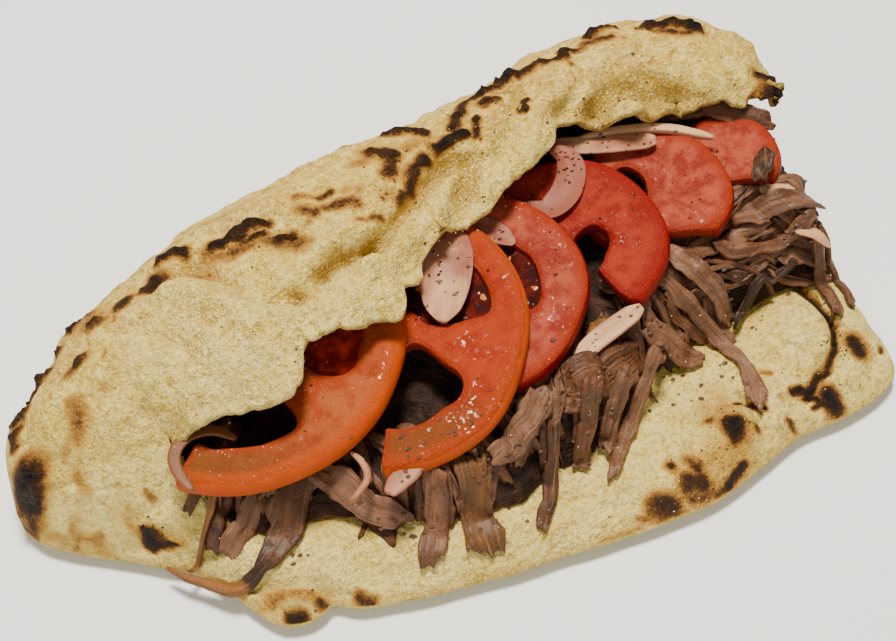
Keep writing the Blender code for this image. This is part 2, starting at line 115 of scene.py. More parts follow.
UPPER_SWELLS = (  # middle x, y, reach in x and y, rise, all in mm
    (-68, 6, 26, 15, 3.4), (-38, 2, 11, 7, 2.0), (-2, 15, 10, 8, 2.2), (24, 20, 8, 8, 1.8),
    (41, 28, 9, 8, 1.8), (54, 33, 7, 7, 1.4), (82, 36, 16, 8, 1.2), (-90, 34, 14, 12, 0.2),
    (-50, 38, 18, 9, 0.6), (-14, 32, 14, 8, 1.2), (104, 22, 11, 9, 1.0), (70, 23, 4.5, 4, 3.4),
    (114, 14, 4, 4, 2.2), (98, 43, 8, 4, 1.0),
)
LOWER_CREASES = (
    (((103, -26), (101, -31), (99, -36), (97, -42), (98, -46)), 1.7, 2.8),
    (((98, -46), (95, -50), (91, -54), (84, -58)), 1.6, 2.4),
    (((84, -58), (78, -60), (72, -62)), 1.8, 1.2),
    (((-91, -27), (-85, -32), (-78, -36), (-72, -41), (-68, -46)), 1.8, 2.4),
    (((-110, -1), (-99, -3), (-90, -6)), 1.8, 1.5), (((-112, -4), (-101, -8), (-89, -13)), 1.8, 1.8),
    (((-105, -11), (-94, -17), (-86, -21)), 2.0, 1.8), (((58, -52), (57, -59), (55, -66)), 2.0, 2.0),
    (((44, -66), (46, -62), (51, -62)), 1.3, 1.6), (((40, -52), (50, -50), (57, -54)), 2.5, 1.2),
    (((-58, -46), (-40, -56), (-20, -60)), 3.0, 0.8), (((0, -62), (16, -60), (30, -58)), 3.0, 0.6),
)
LOWER_SWELLS = (
    (86, -42, 11, 13, 4.2), (47, -60, 11, 8, 2.4), (74, -46, 8, 10, 1.0), (20, -58, 16, 8, 1.0),
    (-30, -52, 20, 9, 1.0), (-77, -43, 9, 5, 2.6), (108, -48, 8, 9, -1.2), (-105, 3, 14, 8, 1.4),
    (-20, -69, 24, 4, 1.2), (60, -70, 20, 5, 0.8),
)
# Burns: route in mm, half width, and how far gone from toasted (0.3) over brown to charcoal (1).
UPPER_BURNS = (
    (((-121, 31), (-123, 28)), 1.8, 1), (((-115, 39), (-108, 43)), 1.8, 1),
    (((-123, 18), (-125, 18)), 4.2, 1), (((-127, 18), (-127, 15)), 1.7, 0.8),
    (((-120, 37), (-118, 34)), 2.3, 1), (((-121, 31), (-122, 27)), 1.2, 0.8),
    (((-103, 44),), 1.4, 1), (((-97, 46), (-95, 45)), 1.4, 1), (((-83, 49),), 0.6, 0.8),
    (((-104, 31), (-99, 31)), 1.7, 0.78), (((-106, 22), (-106, 19), (-108, 17)), 2.6, 0.55),
    (((-113, 16),), 1.7, 0.5), (((-112, 10), (-112, 7)), 1.7, 0.42), (((-109, 1),), 1.4, 0.25),
    (((-94, 40), (-90, 41)), 2.6, 0.45), (((-93, 37), (-90, 38)), 1.4, 0.8),
    (((-93, 44), (-91, 43)), 0.9, 0.7), (((-85, 39), (-82, 39)), 2, 0.9),
    (((-87, 37), (-88, 34)), 0.6, 0.6), (((-94, 28), (-93, 29)), 0.6, 0.5),
    (((-97, 21), (-97, 20)), 1.2, 0.3), (((-78, 38), (-73, 40)), 2, 0.85),
    (((-70, 44), (-67, 44), (-64, 41)), 1.6, 1), (((-67, 35), (-64, 32), (-62, 29)), 1.4, 0.45),
    (((-62, 31),), 0.9, 0.75), (((-60, 36), (-56, 32), (-49, 31)), 2.3, 0.6),
    (((-57, 37), (-50, 35)), 1.7, 1), (((-49, 35), (-46, 36), (-43, 35)), 1.4, 1),
    (((-50, 33), (-45, 32)), 1.2, 0.8), (((-45, 30), (-38, 24)), 2.9, 0.6),
    (((-42, 29), (-38, 27)), 2, 0.92), (((-35, 51),), 1, 0.7), (((-32, 37), (-29, 35)), 1.2, 0.55),
    (((-28, 34), (-24, 34)), 1.2, 0.65), (((-34, 33), (-31, 30)), 1.9, 0.7),
    (((-28, 30), (-19, 27)), 1.7, 0.68), (((-21, 32), (-17, 31)), 1.7, 0.35),
    (((-22, 22), (-16, 21)), 1.2, 0.6), (((-33, 28),), 1.2, 0.45),
    (((-12, 40), (-7, 40)), 2.3, 0.5), (((-7, 42), (-3, 37), (-6, 33)), 2.6, 0.9),
    (((1, 48), (4, 44), (10, 40)), 1.4, 1), (((2, 38), (8, 38)), 1.7, 0.4),
    (((5, 33), (-1, 30), (-3, 26)), 2, 0.95), (((-3, 26), (-9, 24)), 1.7, 0.7),
    (((-6, 30),), 0.6, 0.9), (((-10, 27),), 0.6, 0.8), (((-12, 26),), 0.6, 0.8),
    (((-10, 27), (-5, 25)), 2.3, 0.35), (((10, 35), (15, 35), (19, 35)), 1.7, 1),
    (((18, 39), (23, 43), (27, 46)), 2, 1), (((27, 46), (32, 46)), 1.4, 0.9),
    (((24, 37), (22, 33)), 1.4, 0.88), (((22, 31),), 0.4, 1), (((30, 41), (35, 41)), 1.7, 0.8),
    (((35, 44), (40, 43)), 0.9, 0.5), (((29, 46), (35, 47), (41, 46)), 1.2, 0.9),
    (((40, 48), (46, 47), (54, 47)), 1.6, 1), (((52, 47), (62, 46)), 1.4, 1),
    (((62, 49), (66, 49)), 1.4, 1), (((66, 47), (69, 47)), 1.2, 0.7),
    (((70, 48), (75, 47), (79, 46)), 1.7, 0.75), (((74, 51), (80, 52), (84, 51)), 1.7, 1),
    (((61, 45), (60, 42)), 1.2, 0.6), (((91, 46), (96, 46), (101, 44), (106, 39)), 2, 1),
    (((95, 43), (102, 38), (107, 37)), 1.7, 0.65), (((115, 18), (115, 14), (114, 10)), 3.3, 1),
    (((111, 15), (109, 12)), 0.9, 0.6), (((42, 37), (38, 34)), 0.9, 1), (((82, 44),), 0.9, 0.45),
    (((98, 24),), 1.2, 0.25), (((104, 23),), 1.2, 0.25), (((15, 43), (18, 43)), 0.6, 0.5),
    (((18, 44), (22, 45)), 0.6, 0.6), (((-103, -6), (-101, -8), (-98, -10)), 1.3, 1),
    (((-106, -3), (-102, -6), (-96, -11)), 2, 0.35), (((-98, -1),), 1.2, 0.65),
    (((-97, -2),), 0.6, 0.6), (((-119, 6), (-117, 3)), 1.7, 0.35),
    (((-120, 5), (-114, 1)), 0.9, 0.5), (((-127, 14), (-123, 8), (-113, -1)), 1.4, 0.3),
    (((-85, 50), (-67, 54), (-45, 45)), 1.7, 0.22), (((0, 48),), 1.4, 0.2),
    (((-10, 52), (-5, 52)), 0.9, 0.5),
)
LOWER_BURNS = (
    (((47.4, -60.6),), 3.9, 1), (((49, -55), (45, -65), (35, -66)), 8.1, 0.33),
    (((43.5, -54.5),), 1.6, 0.75), (((54, -63),), 1.4, 0.7),
    (((31, -62), (32, -64)), 2.3, 0.8), (((25, -61),), 2, 0.75),
    (((27, -67), (31, -68)), 3.2, 0.85), (((26, -70), (34, -72)), 1.7, 0.7),
    (((15.5, -67), (20, -69)), 2.8, 0.9),
    (((38, -71.5), (41, -70), (45, -69)), 1.3, 0.95), (((98, -55), (98, -57)), 3.2, 0.9),
    (((80, -64), (80, -68)), 2.9, 1), (((74, -61), (77, -65), (74, -65)), 0.9, 1),
    (((71, -58), (74, -59), (75, -60)), 1.2, 0.9), (((67, -58),), 1.2, 0.5),
    (((65, -65), (65, -67)), 1.3, 0.75), (((68, -49), (69, -51)), 0.9, 0.5),
    (((54, -54), (57, -55), (60, -59)), 1.2, 0.85),
    (((102, -29), (99, -36), (97, -42), (98, -46)), 1.7, 1),
    (((98, -46), (91, -54), (84, -58)), 1.2, 1), (((84, -58), (80, -59), (75, -61)), 1.2, 1),
    (((106, -59), (105, -60)), 0.9, 0.7), (((28, -71), (39, -72)), 1.2, 0.7),
    (((-87, -34), (-86, -37)), 1.2, 0.3), (((-84, -38), (-81, -39)), 1.4, 0.6),
    (((-73, -44),), 1.7, 0.85), (((-82, -43), (-78, -45)), 1.4, 0.9),
    (((-84, -36), (-72, -43)), 2.3, 0.4), (((-64, -48), (-62, -50)), 1.7, 0.75),
    (((-93, -23), (-89, -29)), 0.9, 0.6), (((-2, -67), (10, -69)), 0.9, 0.35),
    (((10, -67), (24, -72)), 0.9, 0.5),
)


def along(knots, place):
    """Smooth curve through (place, value) knots: cubic pieces whose slopes match."""
    at, value = np.array(knots, float).T
    slope = np.gradient(value, at)
    place = np.asarray(place, float)
    i = np.clip(np.searchsorted(at, place) - 1, 0, len(at) - 2)
    step = at[i + 1] - at[i]
    t = (place - at[i]) / step
    return ((1 + 2 * t) * (1 - t) ** 2 * value[i] + t * (1 - t) ** 2 * step * slope[i]
            + t * t * (3 - 2 * t) * value[i + 1] + t * t * (t - 1) * step * slope[i + 1])


def noise(points, size, seed=0):
    """Value noise from -1 to 1: random numbers on a cubic lattice with cells of the given size,
    blended between the eight corners of a point's cell by t * t * (3 - 2 t)."""
    scaled = np.asarray(points, float) / size + 57.3
    cell = np.floor(scaled).astype(np.int64)
    t = scaled - cell
    t = t * t * (3 - 2 * t)
    total = 0
    for corner in np.ndindex(2, 2, 2):
        at = cell + corner
        mixed = (at[..., 0] * 73856093) ^ (at[..., 1] * 19349663) ^ (at[..., 2] * 83492791)
        mixed = (mixed ^ (seed * 2654435761)) & 0x7FFFFFFF
        mixed = ((mixed ^ (mixed >> 13)) * 1274126177) & 0x7FFFFFFF
        mixed = ((mixed ^ (mixed >> 16)) * 374761393) & 0x7FFFFFFF
        weight = np.prod(np.where(corner, t, 1 - t), axis=-1)
        total = total + weight * (mixed / 0x3FFFFFFF - 1)
    return total


def clouds(points, size, layers, seed=0):
    """Noise of falling size: each layer has half the size and half the strength of the last."""
    return sum(noise(points, size / 2 ** i, seed + i) / 2 ** i for i in range(layers))


def ease(value, start, end):
    """0 before start, 1 after end, with a smooth s-curve between."""
    t = np.clip((value - start) / (end - start), 0, 1)
    return t * t * (3 - 2 * t)


def reach(route, x, y):
    """Distance in metres from each point to a route, or to a lone spot, given in mm."""
    route = np.array(route) * MM
    best = np.hypot(x - route[0, 0], y - route[0, 1])
    for (ax, ay), (bx, by) in zip(route[:-1], route[1:]):
        run = (bx - ax) ** 2 + (by - ay) ** 2
        t = np.clip(((x - ax) * (bx - ax) + (y - ay) * (by - ay)) / run, 0, 1)
        best = np.minimum(best, np.hypot(x - ax - t * (bx - ax), y - ay - t * (by - ay)))
    return best


def relief(creases, swells, x, y):
    """Height in metres that folds and blown bumps add to a skin: each crease is a valley of bell
    section along its route, each swell a bell over an ellipse."""
    rise = np.zeros(np.broadcast(x, y).shape)
    for route, width, depth in creases:
        rise -= depth * np.exp(-(reach(route, x, y) / (MM * width)) ** 2)
    for mx, my, rx, ry, height in swells:
        rise += height * np.exp(-((x * 1000 - mx) / rx) ** 2 - ((y * 1000 - my) / ry) ** 2)
    return rise * MM * BOLD


def burns(marks, x, y, points, bent=1.0):
    """How far the crust has burnt at each point, 0 to 1: each mark fades out to twice its half
    width, and noise bends and frays its outline, the more the larger bent is."""
    x = x + bent * (0.0010 * noise(points, 0.0048, 5) + 0.0007 * noise(points, 0.0019, 6))
    y = y + bent * (0.0010 * noise(points, 0.0048, 7) + 0.0007 * noise(points, 0.0019, 8))
    burnt = np.zeros(np.broadcast(x, y).shape)
    for route, half, strength in marks:
        far = reach(route, x, y) / (half * MM)
        burnt = np.maximum(burnt, strength * (1 - ease(far, 0.0, 2.1)))
    return burnt * (1 + 0.22 * noise(points, 0.0032, 9))


def facing(grid):
    """Unit normal of a grid of points, from the cross product of its two directions."""
    normal = np.cross(np.gradient(grid, axis=0), np.gradient(grid, axis=1))
    return normal / np.maximum(np.linalg.norm(normal, axis=2, keepdims=True), 1e-12)


def make_mesh(name, points, faces, smooth=180, **values):
    """Object at the origin from points and faces, with named numbers stored on its points.
    Doubled points are merged first, faces left with under three points are dropped, and edges
    that turn by more than smooth, in degrees, stay sharp."""
    _, first, same = np.unique(np.round(points / MERGE).astype(np.int64), axis=0,
                               return_index=True, return_inverse=True)
    corners = [list(dict.fromkeys(face)) for face in same.reshape(-1)[faces].tolist()]
    mesh = bpy.data.meshes.new(name)
    mesh.from_pydata(points[first].tolist(), [], [face for face in corners if len(face) > 2])
    for key, value in values.items():
        attribute = mesh.attributes.new(key, "FLOAT", "POINT")
        attribute.data.foreach_set("value", value[first].astype(np.float32))
    mesh.validate()
    mesh.shade_smooth()
    if smooth < 180:
        mesh.set_sharp_from_angle(angle=math.radians(smooth))
    piece = bpy.data.objects.new(name, mesh)
    bpy.context.scene.collection.objects.link(piece)
    return piece


def grid_faces(rows, columns, offset=0, flip=False):
    """Quads of a grid of points stored row by row."""
    a = (np.arange(rows - 1)[:, None] * columns + np.arange(columns - 1)[None, :]).reshape(-1)
    quads = np.stack([a, a + 1, a + columns + 1, a + columns], axis=1) + offset
    return quads[:, ::-1] if flip else quads


def shares(count, last=False):
    """Evenly spaced shares of a way as one row, from 0 up to 1, with or without the 1."""
    return np.linspace(0, 1, count, endpoint=last)[None, :]


# Sections across the bread stand crowded at the left tip, as a pair where the slit starts, and
# evenly from there.  Each takes ways up from the lip, round the back, round the heel, over the
# floor and out over the leaf, and under the bread it ends with the curl of the rim.
closed = np.linspace(0, SLIT ** (1 / 1.7), 56) ** 1.7
opened = SLIT + (1 - SLIT) * np.linspace(0, 1, 246)[1:]
place = np.concatenate([closed, [SLIT + 0.0012], opened])[:, None]
shut, sealed = place <= SLIT, ease(SLIT + 0.03 - place, 0, 0.02)
wobble = np.stack([place * LENGTH, 0 * place, 0 * place], axis=2)
crown, round_back, round_heel, floor_way = shares(54), shares(38), shares(8), shares(8)
leaf_way = shares(46, True)
side_turn, heel_turn, curl = (
    math.pi / 2 * way for way in (round_back, round_heel, shares(6, True)))
pocket_columns = round_heel.size + floor_way.size


def bread_sections():
    """Two smooth grids of points, one row for each section: the outer skin from the torn lip over
    the back and under to the rim, and the pocket's lower side from its back out over the leaf."""
    tear = (0.0011 * noise(wobble, 0.006, 3) + 0.0009 * noise(wobble, 0.0020, 4)) \
        * ease(place, SLIT, SLIT + 0.05)
    front, back, ridge_y, lip_y, edge_y = (
        DEPTH * along(knots, place) for knots in (FRONT, BACK, RIDGE_Y, LIP_Y, EDGE_Y))
    ridge_z, lip_z, edge_z = (HEIGHT * along(knots, place) for knots in (RIDGE_Z, LIP_Z, EDGE_Z))
    front = front + 0.0005 * noise(wobble, 0.012, 9) * ease(place, 0.02, 0.1)
    lip_y = lip_y + tear
    edge_y, edge_z = np.where(shut, lip_y, edge_y), np.where(shut, lip_z, edge_z)
    rim, width, hinge_z = np.minimum(RIM, 0.42 * ridge_z), back - front, HINGE * ridge_z
    heel, toe = np.minimum(HEEL, 0.35 * width), np.minimum(TOE, 0.3 * width)
    under_y = back - heel + (front + toe - back + heel) * np.concatenate(
        [0.5 * floor_way, 0.5 + 0.5 * leaf_way[:, :-curl.size]], axis=1)
    outer_y = np.concatenate([
        lip_y + (ridge_y - lip_y) * crown, ridge_y + (back - ridge_y) * np.sin(side_turn),
        back - heel * (1 - np.cos(heel_turn)), under_y, front + toe * (1 - np.sin(curl))], axis=1)
    outer_z = np.concatenate([
        ridge_z - (ridge_z - lip_z) * (1 - crown) ** 1.7,
        hinge_z + (ridge_z - hinge_z) * np.cos(side_turn),
        hinge_z * (1 - np.sin(heel_turn)), 0 * under_y, rim * (1 - np.cos(curl))], axis=1)
    wall = back - SKIN
    pocket_y = np.concatenate([
        wall - HOLLOW * (1 - np.cos(heel_turn)),
        wall - HOLLOW + (edge_y - wall + HOLLOW) * floor_way,
        edge_y + (front - edge_y) * leaf_way], axis=1)
    pocket_z = np.concatenate([
        FLOOR + (hinge_z - FLOOR) * (1 - np.sin(heel_turn)),
        FLOOR + (edge_z - FLOOR) * ease(floor_way, 0.7, 1),
        rim + (edge_z - rim) * (1 - leaf_way ** along(SWELL, place))], axis=1)

    def shift(y):
        """Place of a point along the bread in metres, drawn back towards the right end's front."""
        late = np.clip((place - SETBACK_START) / (1 - SETBACK_START), 0, 1)
        return LENGTH * (place - 0.5) - SETBACK * late ** 2 * ease(0.018 - y, 0, 0.022)

    trim = 0.0065 * ease(place, 0.90, 1.0) * ease(0.050 - outer_y, 0, 0.035) \
        * ease(outer_z, 0.3 * HEIGHT, 0.6 * HEIGHT)
    return (np.stack([shift(outer_y) - trim, outer_y, outer_z], axis=2),
            np.stack([shift(pocket_y), pocket_y, pocket_z], axis=2))


def upper_skin(outer):
    """The outer skin creased, blistered and roughened along its normals, and its masks.  Left of
    the slit, where the bread is sealed, the creases and burns of the lower side show too."""
    x, y, z = np.moveaxis(outer, 2, 0)
    burnt = np.maximum(burns(UPPER_BURNS, x, y, outer),
                       burns(LOWER_BURNS, x, y, outer, 0.5) * sealed) * ease(z, 0.001, 0.006)
    folds = relief(UPPER_CREASES, UPPER_SWELLS, x, y) + sealed * relief(LOWER_CREASES, (), x, y)
    near_lip = np.zeros((1, outer.shape[1]))
    near_lip[:, :crown.size] = np.exp(-crown * 3.5)
    rise = folds + 0.0015 * noise(outer, 0.017, 11) + 0.0013 * clouds(outer, 0.0075, 3, 12)
    rise += near_lip * 0.0020 * noise(outer, 0.009, 13) * ease(place, SLIT, SLIT + 0.08)
    rise += 0.0016 * ease(burnt, 0.55, 1.0) * (1 + 0.9 * noise(outer, 0.0021, 14))
    rise *= ease(z / HEIGHT, 0.03, 0.30) * ease(place, 0.0, 0.04)
    rough = outer + facing(outer) * rise[..., None]
    rough[..., 2] += 0.0004 * noise(rough, 0.006, 15) * ease(z, 0.0005, 0.003)
    return rough, {
        "burnt": burnt, "fold": -folds * 1000, "leaf": 0 * burnt, "inside": 0 * burnt,
        "flour": np.exp(-((x + 0.064) / 0.034) ** 2 - ((y - 0.006) / 0.019) ** 2),
        "lip": near_lip * ease(place, SLIT, SLIT + 0.03)}


def lower_leaf(leaf, lip):
    """The pocket's lower side with the leaf creased, blistered and roughened, and its masks on
    the leaf alone.  Where the bread is shut it is drawn up to meet the upper skin's lip."""
    x, y = leaf[..., 0], leaf[..., 1]
    on_leaf = np.concatenate([np.zeros((1, pocket_columns)), ease(1 - leaf_way, 0.02, 0.25)], axis=1)
    burnt = np.maximum(burns(LOWER_BURNS, x, y, leaf, 0.5),
                       burns(UPPER_BURNS, x, y, leaf) * sealed) * (on_leaf > 0)
    dips = relief(LOWER_CREASES, LOWER_SWELLS, x, y)
    rise = dips + 0.0011 * noise(leaf, 0.015, 21) + 0.0010 * clouds(leaf, 0.0065, 3, 22)
    rise += 0.0006 * ease(burnt, 0.6, 1.0) * (1 + 0.9 * noise(leaf, 0.0021, 23))
    leaf[..., 2] += rise * on_leaf
    seam = np.where(shut, 1.0, 0.0) * np.concatenate(
        [np.ones((1, pocket_columns)), 1 - ease(leaf_way, 0.0, 0.25)], axis=1)
    leaf += (lip - leaf[:, pocket_columns:pocket_columns + 1]) * seam[..., None]
    return leaf, {
        "burnt": burnt[:, pocket_columns:], "fold": -dips[:, pocket_columns:] * 600, "leaf": 1,
        "inside": 1 - ease(1 - leaf_way, 0, 0.1), "flour": 0.7, "lip": 0}


def bread_shell():
    """The outer grid, the inner one from the lip through the pocket and out over the leaf, and
    each mask as its numbers on the two.  The upper skin's inner face lies under it by its
    thickness, which thins out to the lip; where the bread is shut there is no pocket."""
    smooth_skin, smooth_leaf = bread_sections()
    outer, skin_masks = upper_skin(smooth_skin)
    leaf, leaf_masks = lower_leaf(smooth_leaf, outer[:, :1])
    thick = np.concatenate([TORN + (SKIN - TORN) * ease(crown, 0, 0.35), SKIN + 0 * round_back],
                           axis=1) * (1 + 0.25 * noise(wobble, 0.009, 6))
    lined = thick.shape[1]
    inner = outer[:, :lined] - facing(outer)[:, :lined] * thick[..., None]
    inner = np.concatenate([inner, leaf], axis=1)
    in_pocket = slice(0, lined + pocket_columns)
    inner[:, in_pocket] = np.where(shut[..., None], outer[:, :1], inner[:, in_pocket])
    outer[:, -1] = inner[:, -1]
    outer[0] = inner[0] = outer[0].mean(axis=0)
    masks = {}
    for name, on_leaf in leaf_masks.items():
        on_inner = np.full(inner.shape[:2], 1.0 if name == "inside" else 0.0)
        on_inner[:, in_pocket.stop:] = on_leaf
        masks[name] = skin_masks[name], on_inner
    masks["lip"][1][:, :crown.size] = np.exp(-crown * 3.5)
    return outer, inner, masks


def bread_ring(outer, inner):
    """The two grids as one ring of columns, rim to lip to rim, and the mended right end: both
    gaps are closed over a middle line that bulges by a third of the skin's thickness."""
    gap = np.linalg.norm(outer - inner, axis=2, keepdims=True)
    edge = outer[:, 0] - outer[:, 2]
    edge /= np.maximum(np.linalg.norm(edge, axis=1, keepdims=True), 1e-9)
    lip = (outer[:, 0] + inner[:, 0]) / 2 + edge * gap[:, 0] * 0.35
    end = (outer[-1] + inner[-1]) / 2 + np.array([0.35, 0, 0]) * np.minimum(gap[-1], 0.005)
    end[0], end[-1] = lip[-1], inner[-1, -1]
    return (np.concatenate([outer[:, ::-1], lip[:, None], inner], axis=1),
            np.stack([outer[-1], end, inner[-1]]))


outer, inner, masks = bread_shell()
ring, cap = bread_ring(outer, inner)
stored = {}
for key, (on_outer, on_inner) in masks.items():
    on_ring = np.concatenate([on_outer[:, ::-1], on_outer[:, :1], on_inner], axis=1)
    on_cap = np.stack([on_outer[-1], on_outer[-1], on_inner[-1]])
    stored[key] = np.concatenate([on_ring.reshape(-1), on_cap.reshape(-1)])
faces = np.concatenate([grid_faces(*ring.shape[:2]),
                        grid_faces(*cap.shape[:2], offset=ring[..., 0].size, flip=True)])
bread = make_mesh("bread_crust", np.concatenate([ring.reshape(-1, 3), cap.reshape(-1, 3)]), faces,
                  **stored)


class Wire:
    """An output of a finish's node: arithmetic on it adds Math nodes."""

    def __init__(self, finish, socket):
        self.finish, self.socket = finish, socket

    def maths(self, operation, first, second):
        """Sum, difference or product of two wires or numbers."""
        return self.finish.node("Math", {"operation": operation}, "Value", Value=first,
                                Value_001=second)

    def __add__(self, other):
        return self.maths("ADD", self, other)

    def __sub__(self, other):
        return self.maths("SUBTRACT", self, other)

    def __rsub__(self, other):
        return self.maths("SUBTRACT", other, self)

    def __mul__(self, other):
        return self.maths("MULTIPLY", self, other)

    __radd__, __rmul__ = __add__, __mul__

    def above(self, start, end):
        """Smooth step from 0 at start to 1 at end."""
        return self.finish.node("MapRange", {"interpolation_type": "SMOOTHSTEP"}, "Result",
                                Value=self, From_Min=start, From_Max=end)


class Finish:
    """A Principled material with its own node tree.  Constants are set on its sockets."""

    def __init__(self, name, **constants):
        self.material = bpy.data.materials.new(name)
        self.material.use_nodes = True
        self.tree = self.material.node_tree
        self.shader = self.tree.nodes["Principled BSDF"]
        for socket, value in constants.items():
            self.shader.inputs[socket.replace("_", " ")].default_value = value

    def node(self, kind, settings, out, **values):
        """Output of a new node with its settings made, and each input linked to a wire or set to
        a value.  An input goes by its label, with _ for a blank, or by its own identifier."""
        node = self.tree.nodes.new("ShaderNode" + kind)
        for key, value in settings.items():
            setattr(node, key, value)
        for key, value in values.items():
            socket = next(s for s in node.inputs if s.enabled
                          and (s.name == key.replace("_", " ") or s.identifier == key))
            if isinstance(value, Wire):
                self.tree.links.new(value.socket, socket)
            else:
                socket.default_value = value
        return Wire(self, next(s for s in node.outputs if s.name == out and s.enabled))

    def stored(self, name):
        """Numbers kept on the mesh's points under a name."""
        return self.node("Attribute", {"attribute_name": name}, "Fac")

    def place(self):
        """Where a point is, in metres."""
        return self.node("TexCoord", {}, "Object")

    def grain(self, scale, detail, roughness=0.55, at=None):
        """Noise from 0 to 1, about scale lumps to the metre."""
        return self.node("TexNoise", {}, "Fac", Vector=at or self.place(), Scale=scale,
                         Detail=detail, Roughness=roughness)

    def mix(self, share, a, b):
        """Colour a where share is 0 and b where it is 1."""
        return self.node("Mix", {"data_type": "RGBA"}, "Result", Factor=share, A=a, B=b)

    def layered(self, ground, *layers):
        """Ground colour with layers over it in turn, each given as (share, colour)."""
        for share, colour in layers:
            ground = self.mix(share, ground, colour)
        return ground

    def bump(self, height, depth):
        """Normal of a surface raised by height times depth, in metres."""
        return self.node("Bump", {}, "Normal", Height=height, Distance=depth, Strength=1.0)

    def set(self, **wires):
        """Link wires to the shader's sockets of these names, with _ for a blank."""
        for socket, wire in wires.items():
            self.tree.links.new(wire.socket, self.shader.inputs[socket.replace("_", " ")])
        return self.material


def paint(red, green, blue):
    """Screen colour, 0 to 255, as the linear colour that a shader takes."""
    parts = np.array([red, green, blue]) / 255
    return (*np.where(parts > 0.04045, ((parts + 0.055) / 1.055) ** 2.4, parts / 12.92), 1.0)


crust = Finish("bread_crust", Specular_IOR_Level=0.25, Subsurface_Weight=0.10,
               Subsurface_Scale=0.002, Subsurface_Radius=(1.0, 0.6, 0.3))
fine, pit, lump = crust.grain(1350, 3, 0.7), crust.grain(560, 4, 0.65), crust.grain(260, 4, 0.6)
patchy, crumbs = crust.grain(210, 3), crust.grain(800, 3, 0.7)
far_back = crust.node("SeparateXYZ", {}, "Y", Vector=crust.place()).above(0.020, 0.042)
# The lump, pit and fine grains also raise the bump, so the tone below is partly the crust's own
# mottling and partly painted shade in their dips and painted highlight on their raised grain.
dough = crust.layered(
    crust.mix(lump.above(0.33, 0.66), paint(212, 182, 66), paint(236, 211, 94)),
    (crust.grain(70, 3).above(0.46, 0.70) * 0.6, paint(212, 166, 62)),
    (crust.grain(48, 2).above(0.50, 0.66) * 0.45, paint(232, 214, 124)),
    (far_back * crust.grain(95, 3).above(0.40, 0.62) * 0.6, paint(200, 150, 56)),
    (crust.stored("lip").above(0.25, 0.9) * 0.6, paint(222, 200, 106)),
    (crust.stored("flour") * crust.grain(130, 3).above(0.36, 0.62) * 0.8, paint(226, 208, 120)),
    # the lower leaf painted paler in patches: partly its flour and partly painted light where it
    # faces up to the lamp
    (crust.stored("leaf") * crust.grain(110, 3).above(0.30, 0.60) * 0.7, paint(250, 230, 134)),
    (patchy.above(0.50, 0.66) * 0.30, paint(178, 150, 58)),
    ((1 - patchy.above(0.34, 0.50)) * 0.35, paint(250, 234, 150)),
    # painted shade in the pits, painted highlight on the raised grain
    ((1 - pit.above(0.34, 0.54)) * 0.55, paint(160, 130, 44)),
    (pit.above(0.54, 0.66) * 0.5, paint(250, 234, 150)),
    # creases painted olive-yellow by their depth: partly thin, see-through dough and partly painted
    # shade in the folds
    (crust.stored("fold").above(0.8, 2.6) * 0.75, paint(166, 128, 26)),
    (crust.stored("inside") * 0.6, paint(196, 152, 52)),
    # white specks on the finest raised grain: flour and painted glints; dark in its dips: painted
    # shade
    (fine.above(0.54, 0.66) * 0.7, paint(255, 248, 206)),
    ((1 - fine.above(0.34, 0.45)) * 0.4, paint(150, 114, 44)))
frayed = crust.stored("burnt") + (lump - 0.5) * 0.3 + (fine - 0.5) * 0.45 + (pit - 0.5) * 0.4
charred = crust.layered(
    dough, (frayed.above(0.08, 0.40), paint(188, 142, 56)),
    (frayed.above(0.30, 0.60), paint(134, 92, 40)),
    (frayed.above(0.50, 0.78), paint(76, 46, 20)), (frayed.above(0.72, 1.04), paint(20, 12, 8)))
height = fine * 0.8 + pit * 1.5 + lump * 2.2 + frayed.above(0.6, 0.95) * crumbs * 2.0
bread.data.materials.append(crust.set(
    Base_Color=charred, Roughness=0.82 - frayed.above(0.7, 1.0) * 0.2,
    Normal=crust.bump(height, 0.0012)))
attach(bread, "root")
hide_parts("bread")


# ------------------------------------------------------------------ meat
# Meat shaved off the spit: strips and torn flakes of roasted meat, grey-mauve inside, brown and
# crusty outside, with some amber fat.  They lie over a lumpy core that fills the pocket, painted
# near-black as painted shade for the deep gaps between them.

CELL = 0.001                            # spacing of the maps that loose pieces are laid on
MAP_X, MAP_Y = (-0.132, 0.132), (-0.078, 0.078)
ABOVE_ALL, UNDER_SKIN = 0.10, 0.030     # heights that rays start from, going down
NO_ROOF = 1.0                           # what a map holds where nothing hangs over it
COVER = 0.0030                          # depth of the loose meat that lies over the core
HEAP_EDGE = 0.0045                      # the core ends where the mound is thinner than this
LOWEST_BED = 0.0055                     # nothing loose is laid lower than this


def cast(pieces, start, up=False):
    """Map of the first surface met going down, or up, from a start height at each cell of the
    table, by rays against the pieces' faces.  Misses hold 0 going down, and NO_ROOF going up."""
    verts, faces = [], []
    for piece in pieces:
        mesh = piece.data
        points = np.zeros(len(mesh.vertices) * 3, np.float32)
        mesh.vertices.foreach_get("co", points)
        faces += [tuple(len(verts) + v for v in face.vertices) for face in mesh.polygons]
        verts += points.reshape(-1, 3).tolist()
    tree = BVHTree.FromPolygons(verts, faces)
    xs, ys = np.arange(*MAP_X, CELL), np.arange(*MAP_Y, CELL)
    miss, way = (NO_ROOF, (0, 0, 1)) if up else (0.0, (0, 0, -1))
    hits = [tree.ray_cast((x, y, start), way)[0] for x in xs for y in ys]
    return np.array([miss if hit is None else hit[2] for hit in hits]).reshape(len(xs), len(ys))


